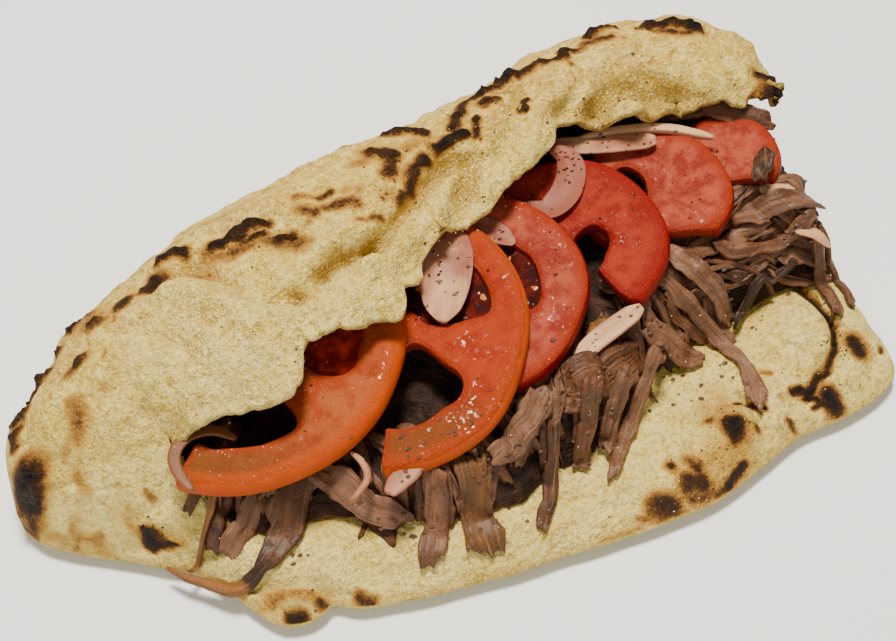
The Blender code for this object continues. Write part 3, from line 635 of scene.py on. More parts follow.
def read(table, x, y):
    """Value of a map between its cells, by the four cells around each point."""
    i = np.clip((np.asarray(x) - MAP_X[0]) / CELL, 0, table.shape[0] - 1.001)
    j = np.clip((np.asarray(y) - MAP_Y[0]) / CELL, 0, table.shape[1] - 1.001)
    a, b = i.astype(int), j.astype(int)
    u, v = i - a, j - b
    return ((table[a, b] * (1 - u) + table[a + 1, b] * u) * (1 - v)
            + (table[a, b + 1] * (1 - u) + table[a + 1, b + 1] * u) * v)


def slab(spacing, inside, top, bottom, wall_rows, bulge=0.0):
    """Closed plate over the part of a flat grid where inside(x, y) is above 0.  The border points
    move onto inside = 0, top and bottom give the heights, and the wall between them bulges.
    Returns points, faces, the x and y each point stands over, and 1 for points of the wall."""
    span_x = np.arange(*MAP_X, spacing)
    span_y = span_x[np.abs(span_x) < MAP_Y[1]]
    grid_x, grid_y = (g.reshape(-1) for g in np.meshgrid(span_x, span_y, indexing="ij"))
    quads = grid_faces(len(span_x), len(span_y))
    quads = quads[(inside(grid_x, grid_y)[quads] > -0.25 * spacing).all(axis=1)]
    used, quads = np.unique(quads, return_inverse=True)
    quads, x, y = quads.reshape(-1, 4), grid_x[used], grid_y[used]
    edges = np.concatenate([quads[:, [k, (k + 1) % 4]] for k in range(4)])
    keys = np.sort(edges, axis=1) @ np.array([len(used), 1])
    _, first, count = np.unique(keys, return_index=True, return_counts=True)
    border = edges[first[count == 1]]
    rim = np.unique(border)
    step = spacing * 0.1
    for _ in range(3):
        here = inside(x[rim], y[rim])
        dx = (inside(x[rim] + step, y[rim]) - here) / step
        dy = (inside(x[rim], y[rim] + step) - here) / step
        size = np.maximum(dx * dx + dy * dy, 0.05)
        x[rim] -= np.clip(here / size * dx, -spacing, spacing)
        y[rim] -= np.clip(here / size * dy, -spacing, spacing)
    out = -np.stack([dx, dy], axis=1) / np.sqrt(size)[:, None]
    flat, high_z, low_z = np.stack([x, y], axis=1), top(x, y), bottom(x, y)
    layers = [np.column_stack([flat, high_z])]
    for k in range(1, wall_rows):
        share = k / wall_rows
        layers.append(np.column_stack([
            flat[rim] + out * (bulge * 4 * share * (1 - share)),
            (high_z + (low_z - high_z) * share)[rim]]))
    layers.append(np.column_stack([flat, low_z]))
    place = np.zeros(len(used), int)
    place[rim] = np.arange(len(rim))
    starts = [len(used) + k * len(rim) for k in range(wall_rows)]
    rings = [border, *(start + place[border] for start in starts[:-1]), starts[-1] + border]
    wall = [np.stack([a[:, 0], a[:, 1], b[:, 1], b[:, 0]], axis=1)
            for a, b in zip(rings[:-1], rings[1:])]
    between = wall_rows - 1
    return (np.concatenate(layers),
            np.concatenate([quads[:, ::-1], *wall, starts[-1] + quads]),
            np.concatenate([flat, *[flat[rim]] * between, flat]),
            np.concatenate([0 * x, np.ones(between * len(rim)), 0 * x]))


leaf_map = cast([bread], UNDER_SKIN)
heap_map = cast([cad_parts["meat_heap"]], ABOVE_ALL)
slices = [f"tomato_slice_{k}" for k in range(1, 7)]
under_map = cast([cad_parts[name] for name in slices], 0.0, up=True)


def core_top(x, y):
    """Height of the core: the mound less the loose meat that covers it, with lumps."""
    flat = np.stack([x, y, 0 * x], axis=-1)
    lumps = 0.0016 * noise(flat, 0.007, 31) + 0.0011 * clouds(flat, 0.0032, 2, 32)
    return np.maximum(read(heap_map, x, y) - COVER + lumps, read(leaf_map, x, y) + 0.0012)


def core_bottom(x, y):
    """The core rests on the lower leaf."""
    return read(leaf_map, x, y) + 0.0006


def in_heap(x, y):
    """Above 0 where the mound stands high enough over the lower leaf; the border is soft."""
    deep = read(heap_map, x, y) - read(leaf_map, x, y) - HEAP_EDGE
    return np.clip(deep, -0.004, 0.004)


points, faces, _, wall = slab(0.0015, in_heap, core_top, core_bottom, wall_rows=3)
core = make_mesh("meat_core", points, faces, wall=wall)
bed_map = np.maximum(np.maximum(leaf_map, LOWEST_BED), cast([core], ABOVE_ALL))
roof_map = np.where(under_map < 0.9 * NO_ROOF, under_map - 0.0008, NO_ROOF)

THINNED = 0.004                 # length over which a strip thins out to its end


def ribbon(route, width, thick, roll, around, seed, edge=0.28, ridge=0.3, cup=0.0, fray=0.004,
           blunt=0.55):
    """Closed strip carried along a route of points.  Its section is a flattened oval, turned by
    roll and bent to a trough by cup.  Noise of the way along makes the edges uneven, noise of the
    way across raises fibres, and at the ends the fibres stick out by different lengths.  Returns
    the grid of points and two grids of numbers, the way along and the way across, in metres."""
    ahead = np.gradient(route, axis=0)
    ahead /= np.linalg.norm(ahead, axis=1, keepdims=True)
    side = np.cross((0, 0, 1), ahead)
    side /= np.maximum(np.linalg.norm(side, axis=1, keepdims=True), 1e-9)
    up = np.cross(ahead, side)
    side, up = (side * np.cos(roll)[:, None] + up * np.sin(roll)[:, None],
                up * np.cos(roll)[:, None] - side * np.sin(roll)[:, None])
    turn = np.linspace(0, 2 * math.pi, around, endpoint=False)[None, :]
    u, v = np.cos(turn), np.sign(np.sin(turn)) * np.abs(np.sin(turn)) ** 0.7
    gone = np.concatenate([[0], np.cumsum(np.linalg.norm(np.diff(route, axis=0), axis=1))])
    s = gone[:, None] + 0 * turn
    share = s / gone[-1]
    near_end = np.sqrt(np.clip(np.minimum(share, 1 - share) * gone[-1] / THINNED, 0, 1))
    taper = blunt + (1 - blunt) * near_end
    bank = np.stack([s, 0.09 * np.sign(u) + 0 * s, 0 * s + seed], axis=2)
    rim = 1 + edge * (noise(bank, 0.0055, seed) + 0.6 * noise(bank, 0.0019, seed + 1))
    across = width[:, None] / 2 * u * taper * rim
    fibre = noise(np.stack([across / 0.0011, s / 0.011, 3 * v + 0 * s + seed], axis=2), 1.0, seed)
    lift = thick[:, None] / 2 * v * (0.3 + 0.7 * near_end) * (1 + ridge * fibre) \
        + cup * (u * u - 0.4) * width[:, None] / 2
    tips = noise(np.stack([across / 0.0013, 0 * s, 9 * (share > 0.5) + 0.0 * s + seed], axis=2),
                 1.0, seed + 3)
    pull = fray * tips * (ease(share, 0.72, 1.0) - ease(1 - share, 0.72, 1.0))
    grid = (route[:, None] + side[:, None] * across[..., None] + up[:, None] * lift[..., None]
            + ahead[:, None] * pull[..., None])
    grid[0], grid[-1] = grid[1].mean(axis=0), grid[-2].mean(axis=0)
    return grid, s, across + lift


def tube_faces(rows, columns, offset):
    """Quads of a grid of rings, each ring closed on itself, with its outside outwards."""
    a = np.arange(rows - 1)[:, None] * columns + np.arange(columns)[None, :]
    b = np.arange(rows - 1)[:, None] * columns + (np.arange(columns)[None, :] + 1) % columns
    return np.stack([a, b, b + columns, a + columns], axis=2).reshape(-1, 4) + offset


def joined(name, parts, material, nodes=()):
    """One piece from many ribbons, each given as (grid, {name: numbers}); it rides and replaces."""
    points, faces, stored, offset = [], [], {}, 0
    for grid, values in parts:
        rows, columns = grid.shape[:2]
        points.append(grid.reshape(-1, 3))
        faces.append(tube_faces(rows, columns, offset))
        for key, value in values.items():
            stored.setdefault(key, []).append((value + np.zeros((rows, columns))).reshape(-1))
        offset += rows * columns
    piece = make_mesh(name, np.concatenate(points), np.concatenate(faces),
                      **{key: np.concatenate(value) for key, value in stored.items()})
    piece.data.materials.append(material)
    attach(piece, "root")
    if nodes:
        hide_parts(*nodes)
    return piece


def laid(route, count, surface, width, thick, lift, stiff, ceiling=None):
    """Route of points over a map: x and y run through the corners given in mm, and the height
    clears the highest thing under the strip's middle and sides by lift.  The stiffer it is, the
    longer the hollows that it bridges, and it stays under the ceiling, a map of what hangs over
    it.  Returns the points and how far the strip rolls at each of them."""
    corners = np.array(route, float) * MM
    gone = np.concatenate([[0], np.cumsum(np.hypot(*np.diff(corners, axis=0).T))])
    at = np.linspace(0, gone[-1], count)
    x = along(list(zip(gone, corners[:, 0])), at)
    y = along(list(zip(gone, corners[:, 1])), at)
    turn = np.arctan2(np.gradient(y), np.gradient(x))
    sx, sy = -np.sin(turn) * width * 0.4, np.cos(turn) * width * 0.4
    left, right = read(surface, x + sx, y + sy), read(surface, x - sx, y - sy)
    z = np.maximum(read(surface, x, y), (left + right) / 2) + thick / 2 + lift
    for _ in range(stiff):
        z[1:-1] = np.maximum(z[1:-1], (z[:-2] + z[2:]) / 2)
    for _ in range(3):
        z[1:-1] = (z[:-2] + 2 * z[1:-1] + z[2:]) / 4
    if ceiling is not None:
        z = np.minimum(z, read(ceiling, x, y) - thick / 2 - 0.0004)
    roll = np.arctan(np.clip((left - right) / (0.8 * width), -0.9, 0.9))
    for _ in range(4):
        roll[1:-1] = (roll[:-2] + roll[1:-1] + roll[2:]) / 3
    return np.stack([x, y, z], axis=1), roll


# The strips that stand clear of the mound: width, thickness, route, and tone from grey-mauve (0)
# over brown (0.5) to dark crust (0.8) and amber fat (1).  Widths and tones may change on the way.
STRIPS = {
    "meat_strip_1": ((13, 12, 10, 7, 5, 3.4, 2.8, 2.2, 1), 2.0,
                     ((-62, -13), (-70, -22), (-74, -26), (-79, -29), (-85, -30), (-90, -29),
                      (-94, -25), (-98, -20), (-102, -14)), (.45, .5, .55, .97, 1, 1)),
    "meat_strip_2": ((3, 2.4, 2), 1.4, ((-81, -6), (-87, -13), (-92, -16), (-96, -18)), 1.0),
    "meat_strip_3": (8.0, 2.2, ((-60, -17), (-56, -24), (-52, -32), (-46, -40)), .05),
    "meat_strip_4": (7.0, 2.4, ((-34, -36), (-37, -41), (-40, -45), (-45, -51)), .3),
    "meat_strip_5": (9.5, 2.4, ((-25, -36), (-27, -42), (-29, -50), (-31, -57)), .94),
    "meat_strip_6": (7.5, 2.6, ((3, -32), (-5, -37), (-13, -40), (-20, -41)), .2),
    "meat_strip_7": (4.0, 2.0, ((0, -40), (-5, -47), (-10, -53), (-16, -58)), .55),
    "meat_strip_8": (13.0, 3.6, ((6, -35), (15, -36), (24, -35), (34, -33)), .45),
    "meat_strip_9": (4.2, 2.2, ((44, -32), (34, -38), (20, -47), (7, -57)), .25),
    "meat_strip_10": (7.0, 2.2, ((41, -27), (48, -33), (56, -38)), .15),
    "meat_strip_11": (5.0, 2.2, ((49, -13), (54, -20), (59, -27), (63, -34), (64, -44),
                                 (58, -60)), .15),
    "meat_strip_12": (6.5, 2.2, ((59, -10), (61, -18), (65, -25), (71, -31)), .1),
    "meat_strip_13": (4.5, 2.4, ((72, -17), (82, -21), (92, -23), (104, -24)), .3),
    "meat_strip_14": (7.0, 2.2, ((82, -11), (90, -14), (99, -18), (108, -21)), .25),
    "meat_strip_15": (3.8, 2.2, ((104, -26), (104, -33), (103, -40), (99, -46)), .3),
    "meat_strip_16": (3.2, 1.6, ((97, -28), (88, -28), (79, -29), (70, -33)), .9),
    "meat_strip_17": (6.0, 3.4, ((84, 27), (91, 24), (99, 20), (106, 15), (113, 7)), .5),
    "meat_strip_18": (5.5, 2.0, ((101, -2), (98, -6), (94, -9), (92, -12)), .7),
    "meat_strip_19": (6.0, 2.4, ((14, -38), (9, -43), (3, -49)), .4),
    "meat_strip_20": (5.5, 2.2, ((27, -37), (19, -42), (12, -48)), .25),
    "meat_strip_21": (3.6, 2.0, ((107, -25), (110, -31), (110, -37), (108, -44)), .35),
}
HIGH_STRIPS = ("meat_strip_17", "meat_strip_18")    # they lie over the slices, at HIGH_Z
HIGH_X, HIGH_Z = (0.080, 0.099, 0.118), (0.0440, 0.0455, 0.0420)
STRIP_STEPS, STRIP_SIDES = 48, 34
SHREDS = (  # x from, to, y from, to, heading, spread, lowest y of a tip, how many, length, tone
    (-86, -52, -24, -6, -105, 30, -25, 30, 14, .4), (-58, -28, -36, -16, -95, 40, -42, 30, 16, .4),
    (-32, 6, -40, -20, -100, 30, -46, 40, 16, .4), (2, 40, -38, -16, -110, 40, -45, 44, 15, .45),
    (34, 66, -30, -6, -80, 30, -40, 34, 18, .35), (56, 100, -26, 0, -10, 18, -33, 74, 24, .3),
    (88, 110, -26, -8, -50, 25, -34, 16, 18, .4), (-92, -70, -10, 8, -140, 30, -20, 12, 16, .5),
    (100, 110, 8, 46, 0, 26, -20, 110, 11, .3),
)
SHRED_STEPS, SHRED_SIDES = 22, 16
LEGS = 3                        # a shred's route has this many straight legs
OPEN_END = 99                   # shreds that start beyond this x hang out over the open end
FURTHEST, FURTHEST_HUNG = 0.116, 0.119      # how far right their tips may reach
LEAST_MEAT = 0.012              # a shred is dropped where the mound under it is lower than this
LEAN, FAT = 0.94, 1.0           # share of the shreds that are lean meat, and the fat ones' tone
SETTLED = 0.7                   # share of its thickness by which a piece lifts the next ones


def press(table, path, width, thick):
    """Raise a map to the top of a strip laid on it, so that the next strips lie over it."""
    r = width * 0.42
    span = np.arange(-r, r + CELL / 2, CELL)
    ox, oy = (g.reshape(-1) for g in np.meshgrid(span, span))
    ox, oy = ox[np.hypot(ox, oy) <= r], oy[np.hypot(ox, oy) <= r]
    i = np.rint((path[:, :1] + ox - MAP_X[0]) / CELL).astype(int).clip(0, table.shape[0] - 1)
    j = np.rint((path[:, 1:2] + oy - MAP_Y[0]) / CELL).astype(int).clip(0, table.shape[1] - 1)
    np.maximum.at(table, (i, j), path[:, 2:] + thick / 2)


rng = np.random.default_rng(8)
shreds = []
for x0, x1, y0, y1, heading, spread, lowest, many, usual, shade in SHREDS:
    hung = x0 > OPEN_END
    for _ in range(many):
        corners = [(rng.uniform(x0, x1), rng.uniform(y0, y1))]
        length, turn = usual * rng.uniform(0.6, 1.4), math.radians(rng.normal(heading, spread * 0.6))
        bend = rng.normal(0, 0.16)
        for _ in range(LEGS):
            turn += bend / LEGS
            corners.append((corners[-1][0] + length / LEGS * math.cos(turn),
                            corners[-1][1] + length / LEGS * math.sin(turn)))
        xs, ys = np.array(corners).T * MM
        held = 0 if hung else 1         # the corner that must lie on the mound
        if (read(heap_map, xs[held], ys[held]) < LEAST_MEAT or ys.min() < lowest * MM
                or xs.max() > (FURTHEST_HUNG if hung else FURTHEST)):
            continue
        width, thick = (1.3 + 5.7 * rng.random() ** 1.5) * MM, rng.uniform(0.9, 1.9) * MM
        path, roll = laid(corners, SHRED_STEPS, bed_map, width, thick,
                          lift=rng.uniform(-0.0006, 0.0002), stiff=4, ceiling=roof_map)
        press(bed_map, path, width, thick * SETTLED)
        swing = rng.normal(0, 0.35) + rng.normal(0, 0.22) * np.linspace(-1, 1, SHRED_STEPS)
        flat = np.ones(SHRED_STEPS)
        grid, gone, across = ribbon(path, width * flat, thick * flat, roll + swing, SHRED_SIDES,
                                    int(rng.integers(1, 9999)), cup=rng.normal(0, 0.15),
                                    fray=0.0045)
        own = rng.uniform(0, 9)
        tone = np.clip(rng.normal(shade, 0.24), 0, 0.85) if rng.random() < LEAN else FAT
        shreds.append((grid, {"gone": gone, "across": across, "own": own, "tone": float(tone)}))

strips = []
for number, (name, (width, thick, route, tone)) in enumerate(STRIPS.items()):
    width, tone = (np.interp(np.linspace(0, 1, STRIP_STEPS), np.linspace(0, 1, np.size(knots)),
                             np.ravel(knots)) for knots in (width, tone))
    width, thick, high = width * MM, thick * MM, name in HIGH_STRIPS
    path, roll = laid(route, STRIP_STEPS, bed_map, width, thick, lift=0.0002, stiff=3,
                      ceiling=None if high else roof_map)
    if high:
        path[:, 2] = np.interp(path[:, 0], HIGH_X, HIGH_Z)
    press(bed_map, path, width.mean(), thick * SETTLED)
    grid, gone, across = ribbon(path, width, thick + 0 * width, roll, STRIP_SIDES, 100 + number,
                                cup=0.12)
    strips.append((grid, {"gone": gone, "across": across, "own": number * 0.37,
                          "tone": tone[:, None]}))

meat = Finish("shaved_meat", Subsurface_Weight=0.10, Subsurface_Scale=0.0012,
              Subsurface_Radius=(1.0, 0.35, 0.2), Coat_Weight=0.08, Coat_Roughness=0.3,
              Specular_IOR_Level=0.32)
gone, across, own = meat.stored("gone"), meat.stored("across"), meat.stored("own")
fibre_place = meat.node("CombineXYZ", {}, "Vector", X=gone * 60, Y=across * 1100, Z=own * 7)
fibre = meat.grain(1.0, 4, 0.6, at=fibre_place)
strand = meat.grain(0.35, 3, 0.5, at=fibre_place)
patch, blot = meat.grain(150, 3), meat.grain(420, 3)
tone = meat.stored("tone") + (patch - 0.5) * 0.9 + (blot - 0.5) * 0.35
flesh = meat.layered(
    meat.mix(tone.above(0.08, 0.48), paint(122, 85, 62), paint(92, 55, 30)),
    (tone.above(0.42, 0.80), paint(40, 22, 12)),
    (meat.stored("tone").above(0.9, 0.97), paint(128, 82, 30)),
    (strand.above(0.44, 0.60) * 0.5, paint(56, 34, 22)),
    # pale fibres on the raised ridges: partly the meat's own pale fibres and partly painted
    # highlight
    (fibre.above(0.56, 0.72) * 0.5, paint(158, 118, 84)),
    (blot.above(0.60, 0.72) * 0.45, paint(44, 26, 20)))
meat.set(Base_Color=flesh, Roughness=0.60 - patch.above(0.45, 0.65) * 0.28,
         Normal=meat.bump(fibre * 0.6 + strand * 1.1 + meat.grain(1100, 3) * 0.5, 0.0009))
meat_pieces = joined("meat_strips", strips, meat.material, STRIPS)
shred_pieces = joined("meat_shreds", shreds, meat.material)

inner_meat = Finish("meat_core", Roughness=0.7, Specular_IOR_Level=0.25)
deep = inner_meat.grain(180, 4)
squeezed = inner_meat.node("VectorMath", {"operation": "MULTIPLY"}, "Vector",
                           Vector=inner_meat.place(), Vector_001=(70, 70, 420))
layers = inner_meat.grain(1.0, 4, 0.6, at=squeezed)
# The core is painted near-black: painted shade for the gaps between the loose meat over it; only its
# walls show the meat's layers.
dark = inner_meat.layered(
    inner_meat.mix(deep.above(0.35, 0.7), paint(26, 13, 8), paint(58, 34, 22)),
    (inner_meat.stored("wall") * layers.above(0.38, 0.62), paint(112, 76, 52)))
core.data.materials.append(inner_meat.set(Base_Color=dark, Normal=inner_meat.bump(
    deep + layers * 1.5 + inner_meat.grain(700, 3) * 0.4, 0.002)))
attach(core, "root")
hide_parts("meat_heap")


# ------------------------------------------------------------------ tomato
# Slices of a large ripe tomato, 5 mm thick: a band of skin round firm flesh, a pale core, and
# hollows between the ribs where seeds and gel have mostly fallen out.

# In mm and degrees: radius, stretch along the cut, direction of the cut and its distance from the
# middle; hollows as first and last angle, near and far radius; which of them still hold their
# gel; how far the skin leans out below; and redness, from pale orange (0) to deep red (1).
SLICES = (
    (39.5, 1.04, 216, 0, ((203, 266, 4, 30), (298, 372, 9, 29.5)), (1,), 2.6, 0.0),
    (35.5, 1.12, 236, 0, ((225, 288, 7, 25), (333, 408, 8, 27)), (1,), 1.6, 0.4),
    (31.5, 1.0, 240, 0, ((300, 384, 9, 18.5),), (0,), 1.0, 0.7),
    (28.0, 1.0, 331, 20.4, ((178, 275, 3, 36), (262, 358, 2, 11.5)), (), 1.2, 1.0),
    (21.5, 1.0, 330, 14.7, ((96, 188, 2.5, 12.5),), (), 1.2, 0.7),
    (15.0, 1.0, 330, 8.8, (), (), 1.0, 0.7),
)
BROWNISH = (0, 1)               # slices painted darker and browner towards the far end of the cut
THICK = 0.0048
RISE, TIP = math.radians(12), math.radians(6)       # the row climbs to the right, and tips forward
SOFT = 0.0022           # rounding of a hollow's corners


def slice_level(number):
    """Function of x and y in metres: how far a point is inside the skin, inside the pulp and
    inside the gel.  The pulp's is the least of the distances to the cut and to each hollow, and
    noise makes all of them uneven."""
    radius, stretch, cut, offset, hollows, wet = SLICES[number][:6]
    cx, cy = math.cos(math.radians(cut)), math.sin(math.radians(cut))

    def parts(x, y):
        """The three distances; a hollow's is the soft least of those to its four sides."""
        run, over = x * cx + y * cy, -x * cy + y * cx
        angle, r = np.arctan2(y, x), np.hypot(run / stretch, over)
        flat = np.stack([x, y, 0 * x + number], axis=-1)
        skin = radius * MM * (1 + 0.012 * np.cos(5 * angle + number)) - r
        skin = skin + 0.0004 * noise(flat, 0.012, 40 + number)
        pulp = over + offset * MM + 0.0005 * noise(flat, 0.006, 50)
        gel = 0 * pulp - 1.0
        for index, (first, last, near, far) in enumerate(hollows):
            a, b = math.radians(first), math.radians(last)
            bearing = (angle - (a + b) / 2 + math.pi) % (2 * math.pi) - math.pi
            room = np.stack([((b - a) / 2 - np.abs(bearing)) * r, r - near * MM,
                             far * MM - r])
            room = -SOFT * np.log(np.exp(-room / SOFT).sum(axis=0)) + SOFT * 0.5
            room = room + 0.0009 * noise(flat, 0.005, 60 + number)
            pulp = np.minimum(pulp, -room)
            if index in wet:
                gel = np.maximum(gel, room + 0.0007)
        return skin, pulp, np.minimum(gel, skin - 0.0012)

    return parts


def tomato(number):
    """One slice, tilted as the row of slices lies, with its middle where the CAD slice's is."""
    radius, _, cut, _, _, wet, flare, redness = SLICES[number]
    parts = slice_level(number)

    def inside(x, y):
        """How far inside the slice a point is: the less of its depths in skin and pulp."""
        return np.minimum(*parts(x, y)[:2])

    def warp(x, y):
        """Slow noise that bends the whole slice a little."""
        return 0.0005 * noise(np.stack([x, y, 0 * x + number], axis=-1), 0.022, 71)

    def top(x, y):
        """Upper face: it sinks a little to the hollows and to the skin, and is finely uneven."""
        flat = np.stack([x, y, 0 * x + number], axis=-1)
        skin, pulp, _ = parts(x, y)
        return (THICK / 2 + 0.00018 * clouds(flat, 0.004, 3, 70) + warp(x, y)
                - 0.0005 * (1 - ease(pulp, 0, 0.0016)) - 0.0003 * (1 - ease(skin, 0, 0.0009)))

    def bottom(x, y):
        """Lower face, rounded up at its edges."""
        return -THICK / 2 + 0.0004 * (1 - ease(inside(x, y), 0, 0.001)) + warp(x, y)

    def gel_top(x, y):
        """The gel stands to the middle of the slice, in soft lumps."""
        return 0.0002 + 0.0007 * noise(np.stack([x, y, 0 * x], axis=-1), 0.003, 72)

    points, faces, flat, side = slab(0.00062, inside, top, bottom, wall_rows=5, bulge=0.0004)
    outer = 1 - ease(parts(*flat.T)[0], 0, 0.004)
    lean = flare * MM * outer * np.clip(0.5 - points[:, 2] / THICK, 0, 1) ** 0.6
    points[:, :2] += flat / np.linalg.norm(flat, axis=1, keepdims=True) * lean[:, None]
    across = Vector((math.cos(RISE), 0, math.sin(RISE)))
    up = across.cross(Vector((0, math.cos(TIP), math.sin(TIP)))).normalized()
    turn = np.array(Vector((0, 0, 1)).rotation_difference(up).to_matrix()).T
    low, high = (np.array(corner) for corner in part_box(slices[number]))
    placed = points @ turn
    middle = (low + high) / 2 - (placed.min(axis=0) + placed.max(axis=0)) / 2
    gel = np.zeros(len(points))
    if wet:
        wet_points, wet_faces, wet_flat, _ = slab(
            0.0008, lambda x, y: parts(x, y)[2], gel_top,
            lambda x, y: 0 * x - THICK / 2 + 0.0004, wall_rows=2)
        faces = np.concatenate([faces, wet_faces + len(points)])
        points, flat = np.concatenate([points, wet_points]), np.concatenate([flat, wet_flat])
        side = np.concatenate([side, np.zeros(len(wet_points))])
        gel = np.concatenate([gel, np.ones(len(wet_points))])
    skin, pulp, _ = parts(*flat.T)
    cut = math.radians(cut)
    far_end = ease(flat @ (math.cos(cut), math.sin(cut)) * 1000 / radius, 0.4, 1.0)
    piece = make_mesh(f"tomato_{number + 1}", points @ turn + middle, faces, 50, skin=skin,
                      pulp=pulp, side=side, gel=gel, redness=0 * skin + redness,
                      far_end=far_end * (number in BROWNISH),
                      bearing=np.arctan2(flat[:, 1], flat[:, 0]),
                      middle=np.hypot(flat[:, 0], flat[:, 1]))
    piece.data.materials.append(ripe.material)
    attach(piece, "root")
    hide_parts(slices[number])
    return piece


ripe = Finish("ripe_tomato", Subsurface_Weight=0.15, Subsurface_Scale=0.003,
              Subsurface_Radius=(1.0, 0.3, 0.15), Specular_IOR_Level=0.10, Coat_Roughness=0.16)
skin, pulp, gel, redness, middle = (
    ripe.stored(name) for name in ("skin", "pulp", "gel", "redness", "middle"))
ribs = ripe.node("CombineXYZ", {}, "Vector", X=ripe.stored("bearing") * 9, Y=middle * 120, Z=redness)
streak = ripe.grain(1.0, 4, 0.6, at=ribs)
cells, mottle, wide = ripe.grain(1400, 3), ripe.grain(260, 4), ripe.grain(60, 2)
pale, rich = paint(156, 80, 38), paint(138, 50, 14)
for start, end, paler, richer in ((0.1, 0.4, (152, 52, 14), (136, 34, 6)),
                                  (0.4, 0.7, (158, 72, 52), (124, 36, 26)),
                                  (0.7, 1.0, (144, 44, 24), (116, 22, 12))):
    pale = ripe.mix(redness.above(start, end), pale, paint(*paler))
    rich = ripe.mix(redness.above(start, end), rich, paint(*richer))
cut_face = ripe.layered(
    ripe.mix((streak * 0.22 + mottle * 0.43 + wide * 0.35).above(0.42, 0.60), pale, rich),
    (ripe.stored("far_end") * 0.9, paint(108, 60, 20)),
    ((1 - pulp.above(0.0002, 0.0024)) * 0.85,
     ripe.mix(redness, paint(146, 50, 16), paint(116, 18, 10))),
    ((1 - skin.above(0.0006, 0.0030 + redness * 0.0030)) * 0.85,
     ripe.mix(redness, paint(164, 66, 8), paint(122, 14, 8))),
    # pale specks where the flesh is raised: pale flecks of the flesh and painted glints of its wet
    # cut face
    (cells.above(0.66, 0.72) * 0.5, paint(220, 150, 110)))
red_peel, lit_gel = redness.above(0.45, 0.65), 1 - redness.above(0.1, 0.3)
peel = ripe.mix(mottle.above(0.3, 0.7) * 0.4,
                ripe.mix(red_peel, paint(178, 70, 0), paint(116, 6, 6)),
                ripe.mix(red_peel, paint(160, 54, 8), paint(90, 6, 6)))
# The palest slice's gel is painted brighter than the others' as painted light, making up for the
# shade of the bread's flap over it.
jelly = ripe.layered(
    ripe.mix(lit_gel, paint(44, 4, 3), paint(110, 14, 6)),
    (mottle.above(0.4, 0.7), ripe.mix(lit_gel, paint(92, 14, 7), paint(176, 44, 12))),
    (ripe.grain(300, 1).above(0.66, 0.69), paint(190, 110, 40)))
outside = ripe.stored("side").above(0.2, 0.8) * (1 - skin.above(0.0008, 0.0012))
juice = ripe.grain(800, 2).above(0.58, 0.66) * wide.above(0.45, 0.6)
uneven = (cells * 0.9 + mottle * 0.8 + streak * 0.2 - 0.95) * (1 - outside * 0.9)
ripe.set(Base_Color=ripe.layered(cut_face, (outside, peel), (gel, jelly)),
         Roughness=0.50 + gel * 0.1, Coat_Weight=outside * 0.04 + juice * 0.5,
         Normal=ripe.bump(uneven, 0.0006))
tomatoes = [tomato(number) for number in range(len(SLICES))]


# ------------------------------------------------------------------ onion
# Raw onion cut in rings and wedges, tossed with sumac: crisp, pinkish white, half transparent,
# with the layer's thin skin along its edges.

# Width at its widest and thickness in mm, cupping across, how blunt the ends are, how white (from
# purple-pink at 0 to white at 1), and the route with its heights in mm.
ONIONS = {
    "onion_piece_1": (17, 1.6, .3, .55, .3, ((-1, 19, 47), (-3, 11, 46.5), (-7, 3, 45),
                                               (-14, -7, 42.5))),
    "onion_piece_2": (7.5, 1.4, .2, .6, .3, ((11, 21, 44), (15, 14, 44), (18, 6, 43.2))),
    "onion_piece_3": (9, 1.5, .3, .5, -.1, ((47, 33, 46), (49, 24, 45.5), (43, 16, 44),
                                           (34, 13, 42.5), (28, 19, 43))),
    "onion_piece_4": (7.6, 1.4, .1, .9, .5, ((48, 33, 45), (60, 25, 45.8), (76, 16.5, 46.8))),
    "onion_piece_5": (3.6, 2.4, 0, .75, .9, ((56, 31, 45), (69, 26, 46.5), (81, 19, 47),
                                             (92, 9, 45.5))),
    "onion_piece_6": (6.2, 2.0, .1, .85, .8, ((14, -30, 33), (22, -28, 34), (30, -27, 35),
                                              (39, -26, 36))),
    "onion_piece_7": (5.6, 2.2, .05, .97, .5, ((-49, -38, 30), (-45, -36, 30), (-41, -35, 30),
                                               (-36, -33, 30))),
    "onion_piece_8": (1.9, 1.4, 0, .85, .5, ((-51, -22, 31), (-50, -27, 31), (-51, -31, 30),
                                           (-55, -33, 29), (-57, -33, 28))),
    "onion_piece_9": (6.5, 1.4, .2, .7, .8, ((95, -10, 37), (101, -10, 37), (106, -13, 36))),
    "onion_piece_10": (4.5, 1.2, .2, .6, .8, ((96, -25, 33), (101, -28, 32), (104, -33, 29))),
    "onion_piece_11": (3.4, 1.4, .1, .8, .3, ((-90, -14, 33), (-91, -6, 34), (-89, -1, 34.5),
                                              (-84, 1, 35), (-78, -1, 35), (-74, -6, 34))),
}
SKEW = {"onion_piece_1": 0.35}      # how far the widest place is moved towards the start
PALING = {"onion_piece_1": 0.5}     # how much whiter it gets towards its end
PAPERY = "onion_piece_11"           # still wears some brown outer skin
PETAL_STEPS, PETAL_SIDES = 48, 28

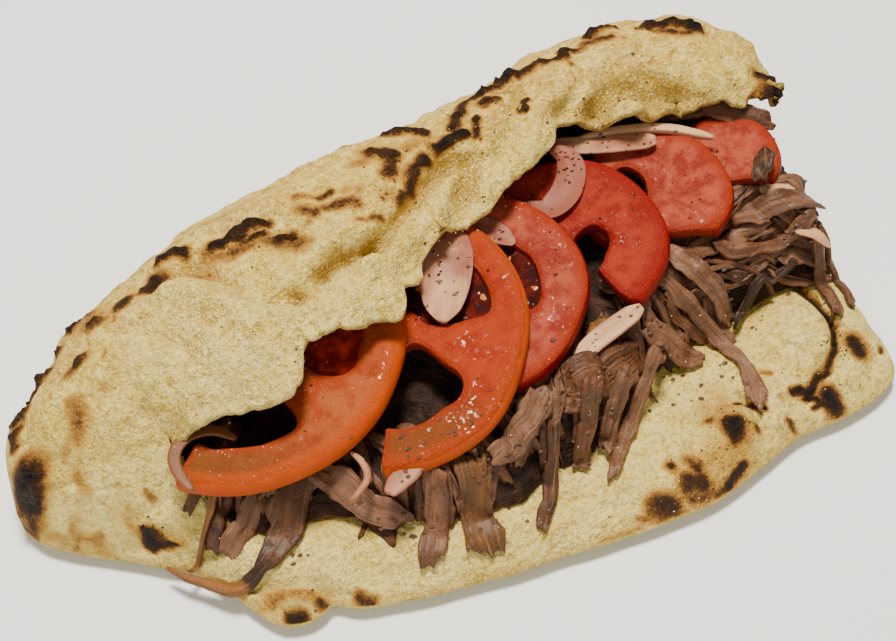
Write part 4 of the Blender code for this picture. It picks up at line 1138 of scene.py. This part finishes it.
petals = []
turn = np.linspace(0, 2 * math.pi, PETAL_SIDES, endpoint=False)[None, :]
way = np.linspace(0, 1, PETAL_STEPS)
for number, (name, (width, thick, cup, blunt, pale, route)) in enumerate(ONIONS.items()):
    width, thick, skew = width * MM, thick * MM, SKEW.get(name, 0)
    corners = np.linspace(0, 1, len(route))
    path = np.stack([along(list(zip(corners, axis)), way)
                     for axis in np.array(route).T * MM], axis=1)
    share = skew + (1 - skew) * way
    broad = width * np.clip(4 * share * (1 - share), 0, 1) ** (1 - blunt)
    grid, gone, across = ribbon(path, broad, thick + 0 * way, 0 * way, PETAL_SIDES, 200 + number,
                                edge=0.03, ridge=0.06, cup=cup, fray=0.0004, blunt=0.35)
    petals.append((grid, {"gone": gone, "across": across, "own": number * 0.61,
                          "bank": np.abs(np.cos(turn)), "brown": float(name == PAPERY),
                          "pale": pale + PALING.get(name, 0) * (2 * share[:, None] - 1.1)}))

layer = Finish("raw_onion", Roughness=0.48, Subsurface_Weight=0.4, Subsurface_Scale=0.004,
               Subsurface_Radius=(1.0, 0.6, 0.5), Specular_IOR_Level=0.25)
veins = layer.node("CombineXYZ", {}, "Vector", X=layer.stored("gone") * 50,
                   Y=layer.stored("across") * 700, Z=layer.stored("own") * 7)
vein = layer.grain(1.0, 2, 0.5, at=veins)
pale = layer.stored("pale") + (layer.grain(110, 2) - 0.5) * 1.0
white = layer.layered(
    layer.mix(pale.above(0.1, 1.0), paint(134, 76, 60), paint(204, 164, 124)),
    (vein.above(0.45, 0.75) * 0.5, paint(150, 98, 74)),
    (layer.stored("bank").above(0.80, 0.98) * 0.5, paint(124, 58, 56)),
    (layer.grain(330, 3).above(0.64, 0.67) * 0.9, paint(64, 20, 20)),
    (layer.stored("brown") * 0.9, paint(104, 64, 32)))
layer.set(Base_Color=white, Normal=layer.bump(vein, 0.0002))
onion_layers = joined("onion_pieces", petals, layer.material, ONIONS)


# ------------------------------------------------------------------ loose bits
# What falls off when it is eaten: flakes of sumac, crumbs of burnt crust, grains of flour, and
# shreds of meat too small to count.  Each kind is one piece of tiny faceted grains.

LOWEST_REST = 0.005             # no grain lies lower than this
top_map = cast([bread, *tomatoes, meat_pieces, shred_pieces, onion_layers], ABOVE_ALL)


def grains(name, areas, size, material, seed, flat=0.5):
    """Grains scattered at random in areas, each given as middle x, y, reach in mm and how many.
    They rest on what lies there: five-sided double pyramids of about the given size in metres,
    stretched and turned at random and squashed by flat."""
    rng = np.random.default_rng(seed)
    spots = np.concatenate([rng.normal((x, y), reach * 0.5, (many, 2))
                            for x, y, reach, many in areas]) * MM
    rest = read(top_map, *spots.T)
    spots, rest = spots[rest > LOWEST_REST], rest[rest > LOWEST_REST]
    many = len(spots)
    rng = np.random.default_rng(seed)
    angle = np.linspace(0, 2 * math.pi, 5, endpoint=False)[None, :] + rng.uniform(0, 6, (many, 1))
    r = size * rng.uniform(0.5, 1.3, (many, 1)) * rng.uniform(0.7, 1.3, (many, 5)) / 2
    shape = np.zeros((many, 7, 3))
    shape[:, :5, 0], shape[:, :5, 1] = r * np.cos(angle), r * np.sin(angle) * 0.7
    shape[:, 5, 2] = r.mean(axis=1) * flat
    shape[:, 6, 2] = -shape[:, 5, 2]
    shape[:, :5, 2] += rng.uniform(-0.2, 0.2, (many, 5)) * r
    shape += np.column_stack([spots, rest + size * flat * 0.2])[:, None]
    ring = np.arange(5)
    one = np.concatenate([np.stack([ring, (ring + 1) % 5, 0 * ring + 5], axis=1),
                          np.stack([(ring + 1) % 5, ring, 0 * ring + 6], axis=1)])
    faces = (one[None] + 7 * np.arange(many)[:, None, None]).reshape(-1, 3)
    piece = make_mesh(name, shape.reshape(-1, 3), faces, 30)
    piece.data.materials.append(material)
    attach(piece, "root")


sumac = Finish("sumac", Roughness=0.7, Specular_IOR_Level=0.15)
sumac.set(Base_Color=sumac.mix(sumac.grain(500, 2), paint(40, 8, 8), paint(78, 20, 14)))
grains("sumac_flakes", (
    (-6, 8, 9, 20), (46, 24, 9, 24), (62, 26, 12, 20), (15, 14, 8, 10), (20, 0, 14, 8),
    (40, -2, 14, 8), (68, 2, 14, 10), (96, 8, 10, 5), (-50, 0, 16, 4)),
    0.0011, sumac.material, 1, 0.3)

char = Finish("char_crumbs", Roughness=0.85)
char.set(Base_Color=char.mix(char.grain(700, 2), paint(16, 10, 8), paint(60, 36, 18)))
grains("char_crumbs", (
    (90, -55, 7, 34), (75, -60, 8, 16), (99, -38, 6, 18), (49, -60, 9, 16), (34, -66, 12, 20),
    (-100, -8, 6, 8), (-2, 34, 12, 24), (30, 40, 14, 24), (-50, 33, 10, 16), (-78, -44, 6, 10),
    (-66, 10, 30, 10), (10, 20, 20, 8), (80, 34, 24, 12)), 0.0008, char.material, 2)

flour = Finish("flour_grains", Roughness=0.8)
flour.set(Base_Color=flour.mix(flour.grain(400, 2), paint(240, 222, 160), paint(252, 240, 200)))
grains("flour_grains", (
    (-70, 4, 14, 300), (-54, 6, 9, 160), (-72, 14, 22, 200), (-34, 6, 7, 120), (20, 24, 14, 160),
    (0, 16, 7, 80), (-22, 10, 8, 80), (-64, -2, 7, 90), (60, -50, 20, 90), (0, -60, 30, 140)),
    0.0004, flour.material, 3, 0.7)

scrap = Finish("meat_scraps", Roughness=0.55, Coat_Weight=0.2)
scrap.set(Base_Color=scrap.mix(scrap.grain(500, 3), paint(46, 28, 20), paint(112, 76, 52)),
          Normal=scrap.bump(scrap.grain(1500, 3), 0.0004))
grains("meat_scraps", (
    (-40, -38, 14, 30), (-20, -42, 14, 30), (10, -42, 16, 40), (40, -34, 12, 30), (70, -30, 12, 20),
    (-75, -27, 8, 14), (95, -24, 8, 20), (60, -46, 10, 8)), 0.0016, scrap.material, 4)


# ------------------------------------------------------------------ studio
# Pale floor under the sandwich, one soft light high above it, a weaker and broader one from the
# front left, and a camera that looks down on the open side from the left.

bpy.ops.mesh.primitive_plane_add(size=1.2)
floor = bpy.context.object
floor.name = "studio_floor"
paper = Finish("studio_floor", Base_Color=(0.86, 0.91, 0.98, 1), Roughness=0.9)
floor.data.materials.append(paper.material)

world = bpy.data.worlds.new("studio_air")
bpy.context.scene.world = world
world.use_nodes = True
world.node_tree.nodes["Background"].inputs["Color"].default_value = (1.0, 0.92, 0.80, 1)
world.node_tree.nodes["Background"].inputs["Strength"].default_value = 0.30


def softbox(name, place, size, power, colour):
    """Round lamp at a place, turned to the middle of the floor."""
    lamp = bpy.data.lights.new(name, "AREA")
    lamp.shape, lamp.size, lamp.energy, lamp.color = "DISK", size, power, colour
    holder = bpy.data.objects.new(name, lamp)
    bpy.context.scene.collection.objects.link(holder)
    holder.location = place
    x, y, z = place
    holder.rotation_euler = (math.atan2(math.hypot(x, y), z), 0, math.atan2(x, -y))


softbox("studio_key", (0.02, 0.14, 0.97), 0.26, 20, (1.0, 0.90, 0.75))
softbox("studio_fill", (-0.6, -0.7, 0.6), 0.6, 4, (1.0, 0.92, 0.80))

AZIMUTH, ELEVATION, FAR, AIM = math.radians(-32), math.radians(50), 0.36, (-0.0015, 0.010, 0.019)
lens = bpy.data.cameras.new("studio_camera")
lens.lens, lens.sensor_width = 50, 36
camera = bpy.data.objects.new("studio_camera", lens)
bpy.context.scene.collection.objects.link(camera)
camera.location = (AIM[0] + FAR * math.sin(AZIMUTH) * math.cos(ELEVATION),
                   AIM[1] - FAR * math.cos(AZIMUTH) * math.cos(ELEVATION),
                   AIM[2] + FAR * math.sin(ELEVATION))
camera.rotation_euler = (math.pi / 2 - ELEVATION, 0, AZIMUTH)
bpy.context.scene.camera = camera
